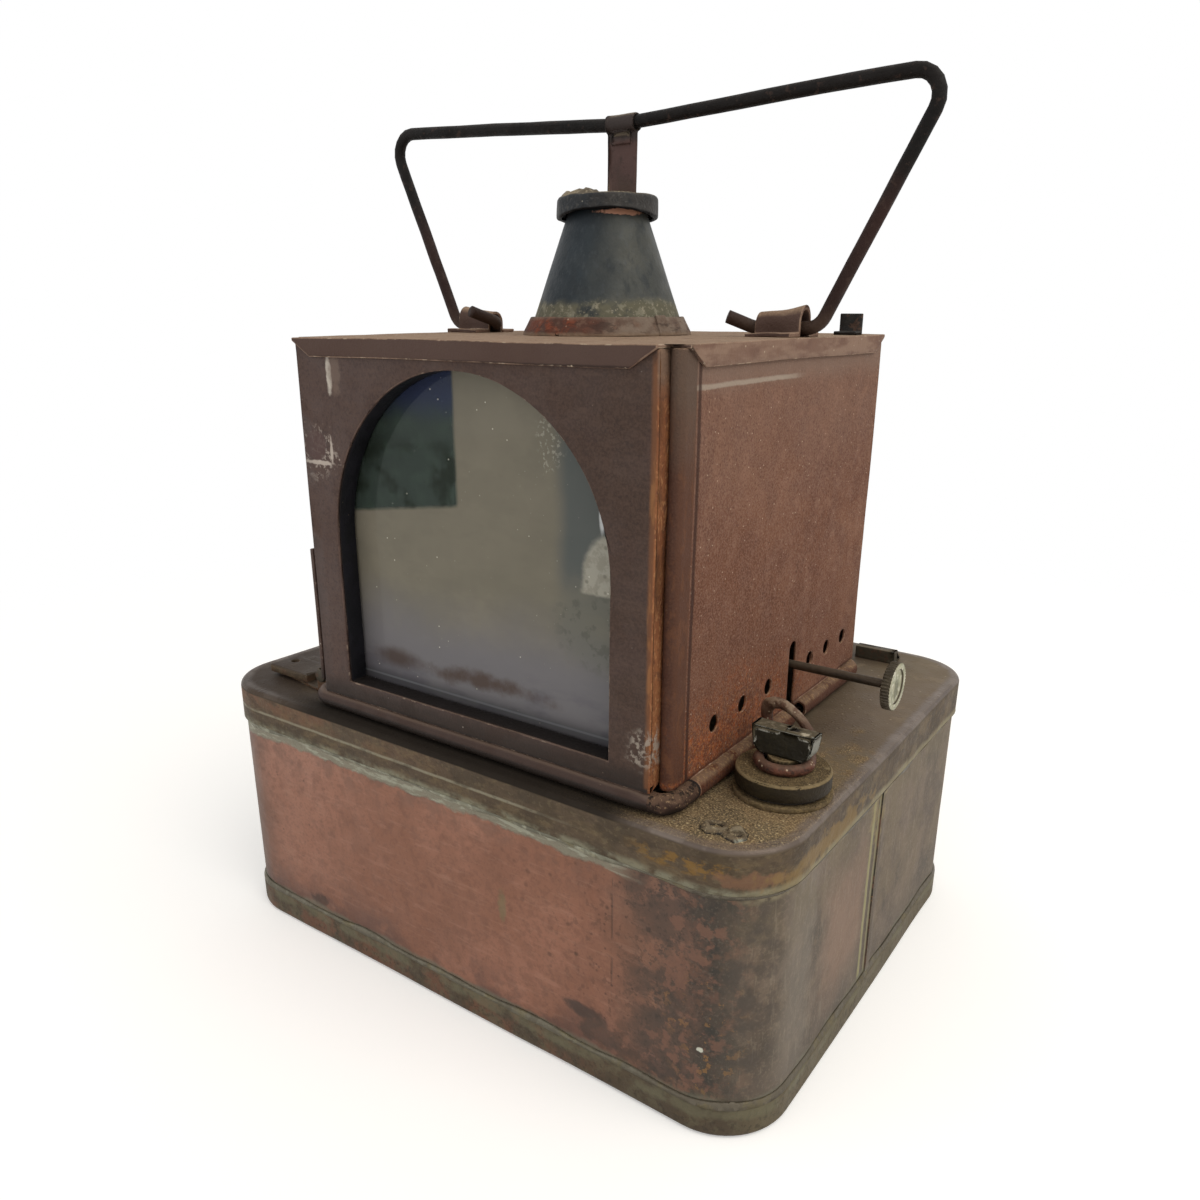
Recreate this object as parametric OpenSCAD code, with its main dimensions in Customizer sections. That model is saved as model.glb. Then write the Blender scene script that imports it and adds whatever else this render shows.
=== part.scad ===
// Railway signal lamp: a soldered oil tank with a hinged sheet-metal lantern case on top.
// Frame: origin at the centre of the tank's underside, X right along the front, Y to the rear, Z up.

/* [Oil tank] */
// Width of the tank over its top and bottom pans
tank_w = 190; // [170:1:240]
// Depth of the tank over its top and bottom pans
tank_d = 151; // [145:1:200]
// Height of the tank
tank_h = 78; // [60:1:120]
// Radius of the tank's upright corners
tank_r = 19; // [8:1:30]
// Thickness of the tank's sheet
tank_sheet = 0.8; // [0.6:0.1:1.2]
// Depth of the top pan's flange
top_lip = 11.2; // [6:0.2:16]
// Depth of the bottom pan's flange
base_lip = 8.4; // [5:0.2:14]
// Radius of the pans' pressed edges
pan_edge = 1.6; // [1.3:0.1:3]
// Width of the folded seam up the tank's right side
seam_w = 2.8; // [2:0.1:6]
// How far that seam stands proud of the wall
seam_proud = 0.5; // [0.3:0.1:0.8]
// Leg of the solder fillets under and over the flanges
solder_leg = 0.9; // [0.4:0.1:1.6]

/* [Lantern case] */
// Centre of the case, to the right of the tank's centre
case_x = 6.9; // [0:0.1:10]
// Centre of the case, behind the tank's centre
case_y = -13.5; // [-16:0.1:-10]
// Width of the case over its side walls
case_w = 117.5; // [100:0.5:118]
// Depth of the case from the front panel to the back wall
case_d = 114.5; // [100:0.5:116]
// Height of the case from its bottom edge to the roof
case_h = 102.6; // [90:0.2:140]
// Gap between the case's bottom edge and the tank
case_gap = 0.35; // [0.3:0.05:1]
// Thickness of the case's sheet
sheet = 0.8; // [0.6:0.1:1.2]
// How far the front panel stands inside the side walls' planes
tray_inset = 3.7; // [3:0.1:6]
// Depth of the front panel's folded returns
tray_return = 6; // [4:0.5:9]
// Depth of the roof's folded lips
lip_depth = 4.7; // [3:0.1:8]
// Length of the slanted cut at each end of a lip
lip_mitre = 6.4; // [3:0.1:10]
// Diameter of the wired bottom edge
bead_d = 5; // [4:0.1:6]
// How far the wired edge's centre lies outside the side walls' planes
bead_out = 0.6; // [0.4:0.1:1]
// How far the wired edge's centre lies behind the front panel's face
bead_in = 1.5; // [1:0.1:2]
// Radius of the wired edge round the corners
bead_turn = 4.5; // [4:0.1:6]
// Length of the front and rear wired edges along the sides
bead_run = 6.2; // [4:0.1:10]
// Width of the back wall's inner flanges
back_flange = 6; // [4:0.5:10]

/* [Window] */
// Width of the arched window
window_w = 88; // [70:0.5:92]
// Height of the window's sill above the case's bottom edge
window_sill = 10.2; // [9:0.2:16]
// Height of the window from sill to crown
window_h = 85.6; // [70:0.2:86]
// Depth of the liner behind the panel
liner_depth = 5.4; // [4:0.2:8]
// Thickness of the glass
glass_t = 2; // [1.5:0.1:3]
// How far the glass reaches past the window on each side
glass_lap = 4.6; // [3:0.1:5]
// Clearance round the glass in its channels
glass_play = 0.2; // [0.1:0.05:0.5]

/* [Vents and spindle slot] */
// Diameter of the air holes
vent_d = 4.3; // [3:0.1:6]
// Height of the air holes above the case's bottom edge
vent_z = 15.2; // [11:0.1:22]
// Pitch of the three holes in front of the slot
vent_pitch_front = 14.75; // [10:0.05:16]
// Pitch of the three holes behind the slot
vent_pitch_rear = 12.2; // [9:0.1:13]
// Width of the open-ended slot for the winder's spindle
slot_w = 4.4; // [3:0.1:5]
// Height of the slot's rounded end above the spindle's centre
slot_rise = 4.4; // [2:0.1:8]

/* [Flue] */
// Radius of the flue's opening in the roof
flue_hole_r = 16.4; // [12:0.1:18]
// Diameter of the flared collar at the roof
collar_base_d = 45.9; // [42:0.1:50]
// Height of the collar
collar_h = 4.7; // [3:0.1:8]
// Diameter of the flue cone at the bottom
cone_base_d = 39.6; // [36:0.1:42]
// Diameter of the flue cone at the top
cone_top_d = 20.6; // [18:0.1:24]
// Height of the flue cone above the roof
cone_h = 31.4; // [20:0.1:45]
// Diameter of the flue's cap
cap_d = 27; // [25:0.1:32]
// Height of the cap's rolled rim
cap_h = 5.6; // [4:0.1:8]
// How far the cap's rim overlaps the cone
cap_lap = 2.2; // [0:0.1:2.6]

/* [Handle] */
// Diameter of the handle's wire
handle_d = 3.3; // [3:0.1:4]
// The handle's plane, in front of or behind the tank's centre
handle_y = -3.4; // [-8:0.1:2]
// Distance of each foot's elbow from the case's centre
foot_reach = 59.6; // [50:0.1:62]
// Distance of the left shoulder from the case's centre
shoulder_left = 84.1; // [66:0.1:88]
// Distance of the right shoulder from the case's centre
shoulder_right = 86.6; // [66:0.1:90]
// Height of the left shoulder above the roof
shoulder_z_left = 57.8; // [45:0.1:70]
// Height of the right shoulder above the roof
shoulder_z_right = 56; // [45:0.1:70]
// Height of the bar's dip at the strap above the roof
dip_z = 52.6; // [44:0.1:60]
// Bend radius at the shoulders
shoulder_bend = 5.5; // [4:0.5:12]
// Bend radius at the feet
foot_bend = 5; // [4:0.5:6]
// Bend radius of the bar's shallow dip
dip_bend = 60; // [20:5:120]
// Height of the wire's centre above the roof at the feet
foot_z = 2.1; // [2:0.1:4]
// Distance of each saddle's centre inside the foot's elbow
saddle_in = 9.6; // [9:0.1:12]
// Length of each saddle along the foot
saddle_w = 12.5; // [8:0.5:14]
// Width of the flat strap from the bar to the flue's cap
strap_w = 8.9; // [6:0.1:12]
// Thickness of that strap
strap_t = 0.9; // [0.8:0.1:1.4]

/* [Hinge] */
// Diameter of the hinge pins
pin_d = 2.6; // [2:0.1:3]
// Diameter of the knuckles
knuckle_d = 5; // [4.6:0.1:5.6]
// Radial running clearance of the pin in the strap's knuckle
pin_play = 0.05; // [0.02:0.01:0.1]
// Height of the hinge axis above the tank
hinge_rise = 5.6; // [5:0.1:7]
// Width of each hinge strap at its knuckle
leaf_w = 10; // [8:0.5:14]
// How far each strap's leaf reaches forward past its knuckle
leaf_wing = 8.4; // [0:0.1:9]
// Distance of each strap's centre from the case's centre, front and rear
leaf_reach = 41; // [35:0.5:43]
// Height of the hinge straps up the wall
leaf_h = 39; // [25:0.5:60]
// Thickness of the hinge straps and brackets
leaf_t = 1.2; // [0.8:0.1:1.8]
// Length of the bracket on the tank from the hinge axis outwards
bracket_l = 26.5; // [16:0.5:32]
// Axial gap between knuckles
knuckle_gap = 0.35; // [0.2:0.05:0.6]

/* [Burner] */
// Centre of the burner and flue, behind the tank's centre
burner_y = -8.2; // [-12:0.1:-4]
// Radius of the burner's shell at its widest
burner_r = 16; // [14:0.1:17]
// Height of the burner's shell
burner_h = 25; // [22:0.1:30]
// Radius of the gallery that holds the chimney glass
gallery_r = 9.9; // [9:0.1:11]
// Radius of the chimney glass at its foot
chimney_r = 8.8; // [7:0.1:9]
// Radius of the chimney glass at its top
chimney_top_r = 5.4; // [4:0.1:7]
// Height of the chimney glass
chimney_h = 26; // [18:0.5:40]
// Number of air holes round the burner
air_holes = 14; // [8:1:18]
// Width of the flat wick
wick_w = 10; // [8:0.1:11]
// Thickness of the flat wick
wick_t = 2.2; // [1.6:0.1:2.6]

/* [Wick winder] */
// Diameter of the winder's spindle
spindle_d = 2.4; // [2:0.1:3]
// Height of the spindle above the tank
spindle_rise = 17.5; // [16:0.1:19]
// Distance of the knob's outer face from the case's right wall
spindle_out = 29; // [18:0.1:29]
// Diameter of the milled knob
knob_d = 12.7; // [10:0.1:16]
// Thickness of the knob
knob_t = 2.4; // [1.8:0.1:4]
// Number of notches round the knob
knob_notches = 44; // [24:1:60]
// Radial running clearance of the spindle in its bushes
spindle_play = 0.05; // [0.02:0.01:0.1]
// Gap between the wick wheels' points and the wick
wheel_gap = 0.3; // [0.3:0.05:0.5]

/* [Filler] */
// Centre of the filler, to the right of the tank's centre
filler_x = 81.4; // [81:0.1:82]
// Centre of the filler, behind the tank's centre
filler_y = -41.4; // [-50:0.1:-30]
// Diameter of the filler's cap
filler_d = 22.9; // [20:0.1:23]
// Thickness of the filler's cap
filler_t = 4.3; // [3:0.1:6]
// Diameter of the neck's flange on the tank
neck_flange_d = 23.9; // [23.4:0.1:24]
// Thickness of the neck's flange
neck_flange_t = 1.3; // [1:0.1:2]
// Radius of the neck's bore
neck_r = 8; // [6:0.1:8.4]
// Depth of the neck below the tank's top
neck_depth = 8; // [6:0.5:14]
// Thickness of the sealing washer
washer_t = 1; // [0.8:0.1:2]
// Radial clearance of the plug in the neck
plug_play = 0.15; // [0.1:0.05:0.4]
// Radius of the stem between the cap and its wing
stem_r = 4; // [3:0.1:4.4]
// Length of the wing
wing_l = 16; // [12:0.1:17]
// Height of the wing
wing_h = 6.8; // [5:0.1:9]
// Thickness of the wing
wing_t = 4.6; // [3:0.1:6]
// Diameter of the keeper's copper wire
keeper_d = 2.3; // [1.8:0.1:2.6]
// Mean radius of the keeper's ring round the stem
keeper_r = 6; // [5.8:0.1:6.6]
// Height of the keeper's arch above the filler's cap
keeper_rise = 11.9; // [11:0.1:18]

/* [Tank furniture] */
// Length of the catch lug behind the case
lug_l = 13; // [8:0.5:18]
// Height of the catch lug
lug_h = 4; // [3:0.1:6]
// Distance of the lug's front face behind the case's back wall
lug_back = 16.5; // [8:0.5:18]

/* [Hidden] */
$fn = 64;
cut = 1;
corner_steps = 10;

// Levels
case_z = tank_h + case_gap;
roof_z = case_z + case_h;
bead_z = case_z + bead_d / 2;
bead_top = case_z + bead_d;
spindle_z = tank_h + spindle_rise;
burner_seat = tank_h + 3.4;
burner_base = tank_h + 4;
burner_top = burner_base + burner_h;
cone_top_z = roof_z + cone_h;
cap_rim_z = cone_top_z - cap_lap;
cap_top_z = cap_rim_z + cap_h;
cap_dish = 1;
cap_t = 0.9;
cap_plate_z = cap_top_z - cap_dish;
cone_sheet = 0.8;
strap_rivet_r = 1.5;
washer_z = tank_h + neck_flange_t + 0.05;
filler_z = washer_z + washer_t;
filler_top = filler_z + filler_t;
keeper_z = filler_top + keeper_d / 2 + 0.15;
wing_z = filler_top + keeper_d + 0.6;

// Planes of the case
right_x = case_x + case_w / 2;
left_x = case_x - case_w / 2;
front_y = case_y - case_d / 2;
back_y = case_y + case_d / 2;
panel_w = case_w - 2 * tray_inset;
post_d = tray_inset;
post_y = front_y + tray_return - sheet;
bead_front_y = front_y + bead_in;
glass_y = front_y + tray_return + sheet + glass_play;
hinge_x = left_x - bead_out - bead_d / 2 - 0.4 - knuckle_d / 2;
hinge_z = tank_h + hinge_rise;
leaf_front_y = case_y - leaf_reach;
leaf_rear_y = case_y + leaf_reach;

// Burner's shell: its sheet, foot, belly and the shoulder that closes in to the gallery
shell_t = 0.8;
shell_foot = burner_r - 4.2;
belly_z = 10.5;
shoulder_z = 14.5;
shoulder_swing = 70;
shoulder_r = (burner_r - gallery_r + 0.15) / (1 - cos(shoulder_swing));

// Wick winder
winder_y = handle_y;
wheel_r = (winder_y - burner_y) - wick_t / 2 - wheel_gap;
tube_wall = 0.5;
tube_play = 0.5;
tube_w = wick_w + 2 * (tube_play + tube_wall);
tube_t = wick_t + 2 * (tube_play + tube_wall);
tube_top = burner_top + 4;
knob_x = right_x + spindle_out;
strap_x = case_x + 1.4;
bush_r = spindle_d / 2 + 1.1;
bush_flange_r = bush_r + 0.6;
bush_seat = sqrt(pow(burner_r, 2) - pow(winder_y - burner_y - bush_flange_r, 2)) + 0.02;

// Window glass
glass_w = window_w + 2 * glass_lap;
glass_bottom = case_z + window_sill - 3.2;
glass_h = window_h + 5.6;

// The keeper's near leg on the cap, its far leg in the eye beside the neck, and the eye's ring
near_leg_r = filler_d / 2 - keeper_d / 2 - 0.5;
near_leg_angle = 75;
near_leg = [filler_x + near_leg_r * cos(near_leg_angle), filler_y + near_leg_r * sin(near_leg_angle)];
eye_in = keeper_d / 2 + 0.45;
eye_out = eye_in + 0.9;
far_leg_r = neck_flange_d / 2 + eye_out + 0.5;
far_leg_angle = 130;
far_leg = [filler_x + far_leg_r * cos(far_leg_angle), filler_y + far_leg_r * sin(far_leg_angle)];
keeper_arch_r = norm(far_leg - near_leg) / 2;
eye_z = tank_h + 7;

// Colours
copper = "#8f5f4b";
patina = "#5a4d40";
rust = "#7a5040";
maroon = "#4d3b36";
roof_dust = "#8a7663";
soot = "#3d4242";
iron = "#3a302c";
brass = "#9a7f4c";
solder_grey = "#8b8b7a";

// Points of a circular arc, for turned profiles
function arc(c, r, a0, a1, n) = [
  for (i = [0 : n]) let (a = a0 + (a1 - a0) * i / n) [c[0] + r * cos(a), c[1] + r * sin(a)]];
function unit(v) = v / norm(v);
function turn(a, b) = acos(max(-1, min(1, unit(a) * unit(b))));
function reversed(list) = [for (i = [len(list) - 1 : -1 : 0]) list[i]];

// Straight stretch of a flat profile along Y, with the profile's x kept and its y turned up
module straight_run(len) {
  rotate([90, 0, 0]) linear_extrude(len, center = true) children();
}

// A flat profile carried round a rounded rectangle: x points outwards from the corner's centre, y up
module carried(w, d, r) {
  for (i = [0 : 3])
    translate([(i == 0 || i == 3 ? 1 : -1) * (w / 2 - r), (i < 2 ? 1 : -1) * (d / 2 - r), 0])
      rotate([0, 0, 90 * i]) rotate_extrude(angle = 90) children();
  for (a = [0, 180]) rotate([0, 0, a]) translate([w / 2 - r, 0, 0]) straight_run(d - 2 * r) children();
  for (a = [90, 270]) rotate([0, 0, a]) translate([d / 2 - r, 0, 0]) straight_run(w - 2 * r) children();
}

// Section of a pressed pan from the corner's centre outwards: flange, rounded edge and flat
module pan_section(h, lip, r, edge, t) {
  polygon(concat(
    [[r - t, h - lip], [r, h - lip]],
    arc([r - edge, h - edge], edge, 0, 90, corner_steps),
    [[0, h], [0, h - t]],
    arc([r - edge, h - edge], edge - t, 90, 0, corner_steps)));
}

// Pressed pan with its flange hanging down
module pan(h, lip) {
  carried(tank_w, tank_d, tank_r) pan_section(h, lip, tank_r, pan_edge, tank_sheet);
  translate([-tank_w / 2 + tank_r, -tank_d / 2 + tank_r, h - tank_sheet])
    cube([tank_w - 2 * tank_r, tank_d - 2 * tank_r, tank_sheet]);
}

// Upright cylinder at a place
module post(x, y, z, r, h) {
  translate([x, y, z]) cylinder(r = r, h = h);
}

// Cylinder along X, and along Y
module rod_x(x, y, z, r, len) {
  translate([x, y, z]) rotate([0, 90, 0]) cylinder(r = r, h = len);
}
module rod_y(x, y, z, r, len) {
  translate([x, y, z]) rotate([-90, 0, 0]) cylinder(r = r, h = len);
}

// Route through corners, each rounded to its own bend radius
function rounded_route(pts, bends, steps) = [
  for (i = [0 : len(pts) - 1])
    if (i == 0 || i == len(pts) - 1) pts[i]
    else
      let (way_in = unit(pts[i] - pts[i - 1]), way_out = unit(pts[i + 1] - pts[i]),
        swing = turn(way_in, way_out), inward = unit(way_out - way_in * (way_in * way_out)),
        start = pts[i] - way_in * bends[i] * tan(swing / 2), centre = start + inward * bends[i])
      for (k = [0 : steps]) let (a = swing * k / steps)
        centre + bends[i] * (way_in * sin(a) - inward * cos(a))];

// Direction of a route at a point, and a side direction carried along it without twist
function heading(p, i) = unit(p[min(i + 1, len(p) - 1)] - p[max(i - 1, 0)]);
function carried_sides(p, i, v) = i == len(p) ? []
  : let (n = unit(v - heading(p, i) * (v * heading(p, i)))) concat([n], carried_sides(p, i + 1, n));

// Round wire swept along a route
module swept_wire(p, r, sides, first_side) {
  side = carried_sides(p, 0, first_side);
  rings = len(p);
  points = [for (i = [0 : rings - 1], k = [0 : sides - 1])
    let (up = cross(heading(p, i), side[i]), a = 360 * k / sides) p[i] + r * (side[i] * cos(a) + up * sin(a))];
  faces = concat(
    [for (i = [0 : rings - 2], k = [0 : sides - 1]) let (m = (k + 1) % sides)
      [i * sides + k, (i + 1) * sides + k, (i + 1) * sides + m, i * sides + m]],
    [[for (k = [0 : sides - 1]) k], [for (k = [sides - 1 : -1 : 0]) (rings - 1) * sides + k]]);
  polyhedron(points, faces);
}

// Turned ring between two radii
module ring(r_out, r_in, h) {
  difference() {
    cylinder(r = r_out, h = h);
    translate([0, 0, -cut]) cylinder(r = r_in, h = h + 2 * cut);
  }
}

// Outline of the arched window, with its sill at y = 0
module arch_outline(w, h) {
  translate([-w / 2, 0]) square([w, h - w / 2]);
  translate([0, h - w / 2]) intersection() {
    circle(d = w, $fn = 96);
    translate([-w / 2, 0]) square([w, w / 2]);
  }
}

// Folded lip of the roof below its flat: a strip with slanted ends, its top edge along X at y = 0
module lip(len) {
  drop = lip_depth - sheet;
  rotate([90, 0, 0]) linear_extrude(sheet)
    polygon([[-len / 2, 0], [len / 2, 0], [len / 2 - lip_mitre, -drop], [-len / 2 + lip_mitre, -drop]]);
}

// Wired edge along the front with both corners turned, seen from above with its front along X
module wired_edge(r) {
  run_w = case_w / 2 + bead_out - bead_turn;
  rod_x(-run_w, 0, 0, r, 2 * run_w);
  for (s = [-1, 1]) {
    translate([s * run_w, bead_turn, 0]) rotate([0, 0, s > 0 ? 270 : 180])
      rotate_extrude(angle = 90) translate([bead_turn, 0]) circle(r = r);
    rod_y(s * (run_w + bead_turn), bead_turn, 0, r, bead_run);
  }
}

module tank_wall() {
  wall_w = tank_w - 2 * tank_sheet;
  wall_d = tank_d - 2 * tank_sheet;
  wall_r = tank_r - tank_sheet;
  color(copper) {
    carried(wall_w, wall_d, wall_r)
      translate([wall_r - tank_sheet, pan_edge]) square([tank_sheet, tank_h - 2 * pan_edge]);
    translate([wall_w / 2, winder_y - seam_w / 2, base_lip + solder_leg])
      cube([seam_proud, seam_w, tank_h - base_lip - top_lip - 2 * solder_leg]);
  }
}

module tank_top() {
  color(patina) difference() {
    pan(tank_h, top_lip);
    post(filler_x, filler_y, tank_h - 2 * cut, neck_r + tank_sheet, 3 * cut);
    post(case_x, burner_y, tank_h - 2 * cut, burner_r - 4, 3 * cut);
  }
}

module tank_bottom() {
  color(patina) rotate([180, 0, 0]) pan(0, base_lip);
}

module tank_solder() {
  wall_w = tank_w - 2 * tank_sheet;
  wall_d = tank_d - 2 * tank_sheet;
  wall_r = tank_r - tank_sheet;
  color(solder_grey) {
    for (z = [[tank_h - top_lip, -1], [base_lip, 1]])
      carried(wall_w, wall_d, wall_r) translate([wall_r, z[0]])
        polygon([[0, 0], [tank_sheet, 0], [0, z[1] * solder_leg]]);
  }
}

module filler_neck() {
  color(patina) translate([filler_x, filler_y, 0]) difference() {
    union() {
      post(0, 0, tank_h, neck_flange_d / 2, neck_flange_t);
      post(0, 0, tank_h - neck_depth, neck_r + tank_sheet, neck_depth + neck_flange_t);
    }
    post(0, 0, tank_h - neck_depth - cut, neck_r, neck_depth + neck_flange_t + 2 * cut);
  }
}

// Strip soldered to the tank with a ring at its top, which guides the keeper's far leg
module keeper_eye() {
  ring_h = 1.4;
  strip_w = 2.6;
  strip_t = 0.8;
  color(copper) translate([far_leg[0], far_leg[1], tank_h]) {
    translate([0, 0, eye_z - tank_h]) ring(eye_out, eye_in, ring_h);
    translate([-strip_w / 2, eye_out - strip_t / 2, 0]) cube([strip_w, strip_t, eye_z - tank_h + ring_h]);
    translate([-strip_w / 2, eye_out + strip_t / 2, 0]) cube([strip_w, strip_w, strip_t]);
  }
}

// Two blobs of solder in front of the filler, each with a pit
module solder_scar() {
  blob_r = 3.1;
  blob_top_r = 2.2;
  blob_h = 0.9;
  pit_r = 1.3;
  pit_floor = 0.3;
  first = [filler_x - 4.4, -tank_d / 2 + 8.6];
  step = [5.6, -5.6 / 12];
  color(solder_grey) for (at = [first, first + step]) translate([at[0], at[1], tank_h]) difference() {
    cylinder(r1 = blob_r, r2 = blob_top_r, h = blob_h);
    post(0, 0, pit_floor, pit_r, blob_h);
  }
}

// Angle piece behind the case: an upright bar and a foot behind it
module catch_lug() {
  bar_t = 3.4;
  foot = 3;
  past_wall = 8;
  color(iron) translate([right_x + past_wall - lug_l, back_y + lug_back, tank_h]) {
    cube([lug_l, bar_t, lug_h]);
    translate([0, bar_t, 0]) cube([lug_l, foot, leaf_t]);
  }
}

// Bracket on the tank: a plate, a raised block and two knuckles for the pin; side is -1 at the front
module hinge_bracket(y, side) {
  near = knuckle_d / 2 + 0.6;
  half = leaf_w / 2 + knuckle_gap;
  ear = 4;
  block = [17.5, 10.4, 2.4];
  block_y = y + side * 3.5;
  screw_r = 1.3;
  difference() {
    union() {
      translate([hinge_x, y, tank_h]) linear_extrude(leaf_t)
        polygon([[near, side * (half + ear)], [-near - 0.4, side * (half + ear)], [-bracket_l, side * half],
          [-bracket_l, -side * (half + ear)], [near, -side * (half + ear)]]);
      translate([hinge_x - bracket_l + 1, block_y - block[1] / 2, tank_h + leaf_t]) cube(block);
      for (s = [-1, 1]) translate([hinge_x, y + s * (half + ear / 2), 0]) {
        rod_y(0, -ear / 2, hinge_z, knuckle_d / 2, ear);
        translate([-knuckle_d / 2, -ear / 2, tank_h + leaf_t]) cube([knuckle_d, ear, hinge_rise - leaf_t]);
      }
    }
    rod_y(hinge_x, y - half - ear - cut, hinge_z, pin_d / 2, 2 * (half + ear + cut));
    post(hinge_x - bracket_l + 5, block_y - side * 1.5, tank_h + leaf_t, screw_r, block[2] + cut);
  }
}

module hinge_bracket_front() {
  color(patina) hinge_bracket(leaf_front_y, -1);
}

module hinge_bracket_rear() {
  color(patina) hinge_bracket(leaf_rear_y, 1);
}

// Pin through a bracket's knuckles, with a head at each end
module hinge_pin(y) {
  half = leaf_w / 2 + knuckle_gap + 4;
  head_t = 0.9;
  head_r = pin_d / 2 + 0.7;
  rod_y(hinge_x, y - half, hinge_z, pin_d / 2, 2 * half);
  for (end = [-half - head_t, half]) rod_y(hinge_x, y + end, hinge_z, head_r, head_t);
}

module hinge_pin_front() {
  color(iron) hinge_pin(leaf_front_y);
}

module hinge_pin_rear() {
  color(iron) hinge_pin(leaf_rear_y);
}

// Screwed collar in the tank's top: a flange on the tank and a barrel through it
module burner_collar() {
  sunk = 5;
  barrel_h = sunk + burner_seat - tank_h;
  color(brass) translate([case_x, burner_y, 0]) difference() {
    union() {
      post(0, 0, tank_h, burner_r - 1.5, 1);
      post(0, 0, tank_h - sunk, burner_r - 4, barrel_h);
    }
    post(0, 0, tank_h - sunk - cut, burner_r - 5.4, barrel_h + 2 * cut);
  }
}

// Turned outline of the burner's shell, from its screwed foot to the gallery
function shell_points(inset) = concat(
  [[shell_foot - inset, burner_base], [shell_foot + 0.8 - inset, burner_base + 2]],
  arc([burner_r - shoulder_r, burner_base + belly_z], shoulder_r - inset, -30, 0, 4),
  [[burner_r - inset, burner_base + shoulder_z]],
  arc([burner_r - shoulder_r, burner_base + shoulder_z], shoulder_r - inset, 0, shoulder_swing, 7));

module burner_shell() {
  plate_t = 1.2;
  air_r = 1.3;
  air_z = burner_base + 6.5;
  plate_hole_r = 0.9;
  color(brass) translate([case_x, burner_y, 0]) {
    difference() {
      rotate_extrude() polygon(concat(
        [[shell_foot - shell_t, burner_seat], [shell_foot, burner_seat]], shell_points(0),
        [[gallery_r, burner_top], [gallery_r - shell_t, burner_top]],
        reversed(shell_points(shell_t))));
      for (i = [0 : air_holes - 1]) rotate([0, 0, 360 / air_holes * (i + 0.5)])
        rod_x(burner_r - 7, 0, air_z, air_r, 9);
      rod_x(-burner_r - cut, winder_y - burner_y, spindle_z, bush_r, 2 * (burner_r + cut));
    }
    translate([0, 0, burner_top - plate_t]) difference() {
      cylinder(r = gallery_r, h = plate_t);
      translate([-tube_w / 2, -tube_t / 2, -cut]) cube([tube_w, tube_t, plate_t + 2 * cut]);
      for (a = [30 : 60 : 330]) rotate([0, 0, a])
        post(gallery_r - 2.3, 0, -cut, plate_hole_r, plate_t + 2 * cut);
    }
  }
}

module wick_tube() {
  drop = 12;
  color(brass) translate([case_x, burner_y, 0]) difference() {
    translate([-tube_w / 2, -tube_t / 2, tank_h - drop]) cube([tube_w, tube_t, tube_top - tank_h + drop]);
    translate([-tube_w / 2 + tube_wall, -tube_t / 2 + tube_wall, tank_h - drop - cut])
      cube([tube_w - 2 * tube_wall, tube_t - 2 * tube_wall, tube_top - tank_h + drop + 2 * cut]);
    translate([-tube_w / 2 + tube_wall, 0, spindle_z - wheel_r - 0.8])
      cube([tube_w - 2 * tube_wall, tube_t, 2 * wheel_r + 1.6]);
  }
}

// Four springy tongues round the foot of the chimney glass
module gallery_prongs() {
  prong_h = 6;
  prong_w = 3.6;
  prong_t = 0.6;
  color(brass) translate([case_x, burner_y, burner_top]) for (a = [45 : 90 : 315]) rotate([0, 0, a])
    intersection() {
      ring(gallery_r, gallery_r - prong_t, prong_h);
      translate([0, -prong_w / 2, 0]) cube([gallery_r + 1, prong_w, prong_h]);
    }
}

module spindle_bushes() {
  barrel = 3.2;
  flange_t = 1;
  color(brass) translate([case_x, winder_y, spindle_z]) for (side = [0, 1]) mirror([side, 0, 0]) difference() {
    union() {
      rod_x(bush_seat - barrel, 0, 0, bush_r, barrel);
      rod_x(bush_seat, 0, 0, bush_flange_r, flange_t);
    }
    rod_x(bush_seat - barrel - cut, 0, 0, spindle_d / 2 + spindle_play, barrel + flange_t + 2 * cut);
  }
}

module winder_spindle() {
  inner_end = bush_seat + 1.6;
  start = case_x - inner_end;
  color(iron) rod_x(start, winder_y, spindle_z, spindle_d / 2, knob_x - knob_t - start);
}

// Milled knob with a shallow dish in its outer face
module winder_knob() {
  notch = 0.62;
  dish = 0.5;
  rim = 1.7;
  color(solder_grey) translate([knob_x - knob_t, winder_y, spindle_z]) rotate([0, 90, 0]) difference() {
    linear_extrude(knob_t) difference() {
      circle(d = knob_d);
      for (i = [0 : knob_notches - 1]) rotate(360 / knob_notches * i) translate([knob_d / 2 + 0.1, 0])
        rotate(45) square(notch, center = true);
    }
    post(0, 0, knob_t - dish, knob_d / 2 - rim, 1);
  }
}

// Star wheels that drive the wick through the tube's window
module wick_wheels() {
  teeth = 12;
  tooth_h = 0.8;
  wheel_t = 1.2;
  reach = wick_w / 2 - 2.4;
  color(brass) for (s = [-1, 1]) translate([case_x + s * reach - wheel_t / 2, winder_y, spindle_z])
    rotate([0, 90, 0]) linear_extrude(wheel_t) difference() {
      polygon([for (i = [0 : 2 * teeth - 1]) let (r = i % 2 == 0 ? wheel_r : wheel_r - tooth_h)
        [r * cos(180 / teeth * i), r * sin(180 / teeth * i)]]);
      circle(r = spindle_d / 2);
    }
}

// Flat wick from just above the tank's floor to just above its tube
module wick() {
  foot = 8;
  proud = 1.6;
  color("#b9ab8d") translate([case_x - wick_w / 2, burner_y - wick_t / 2, foot])
    cube([wick_w, wick_t, tube_top + proud - foot]);
}

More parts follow.
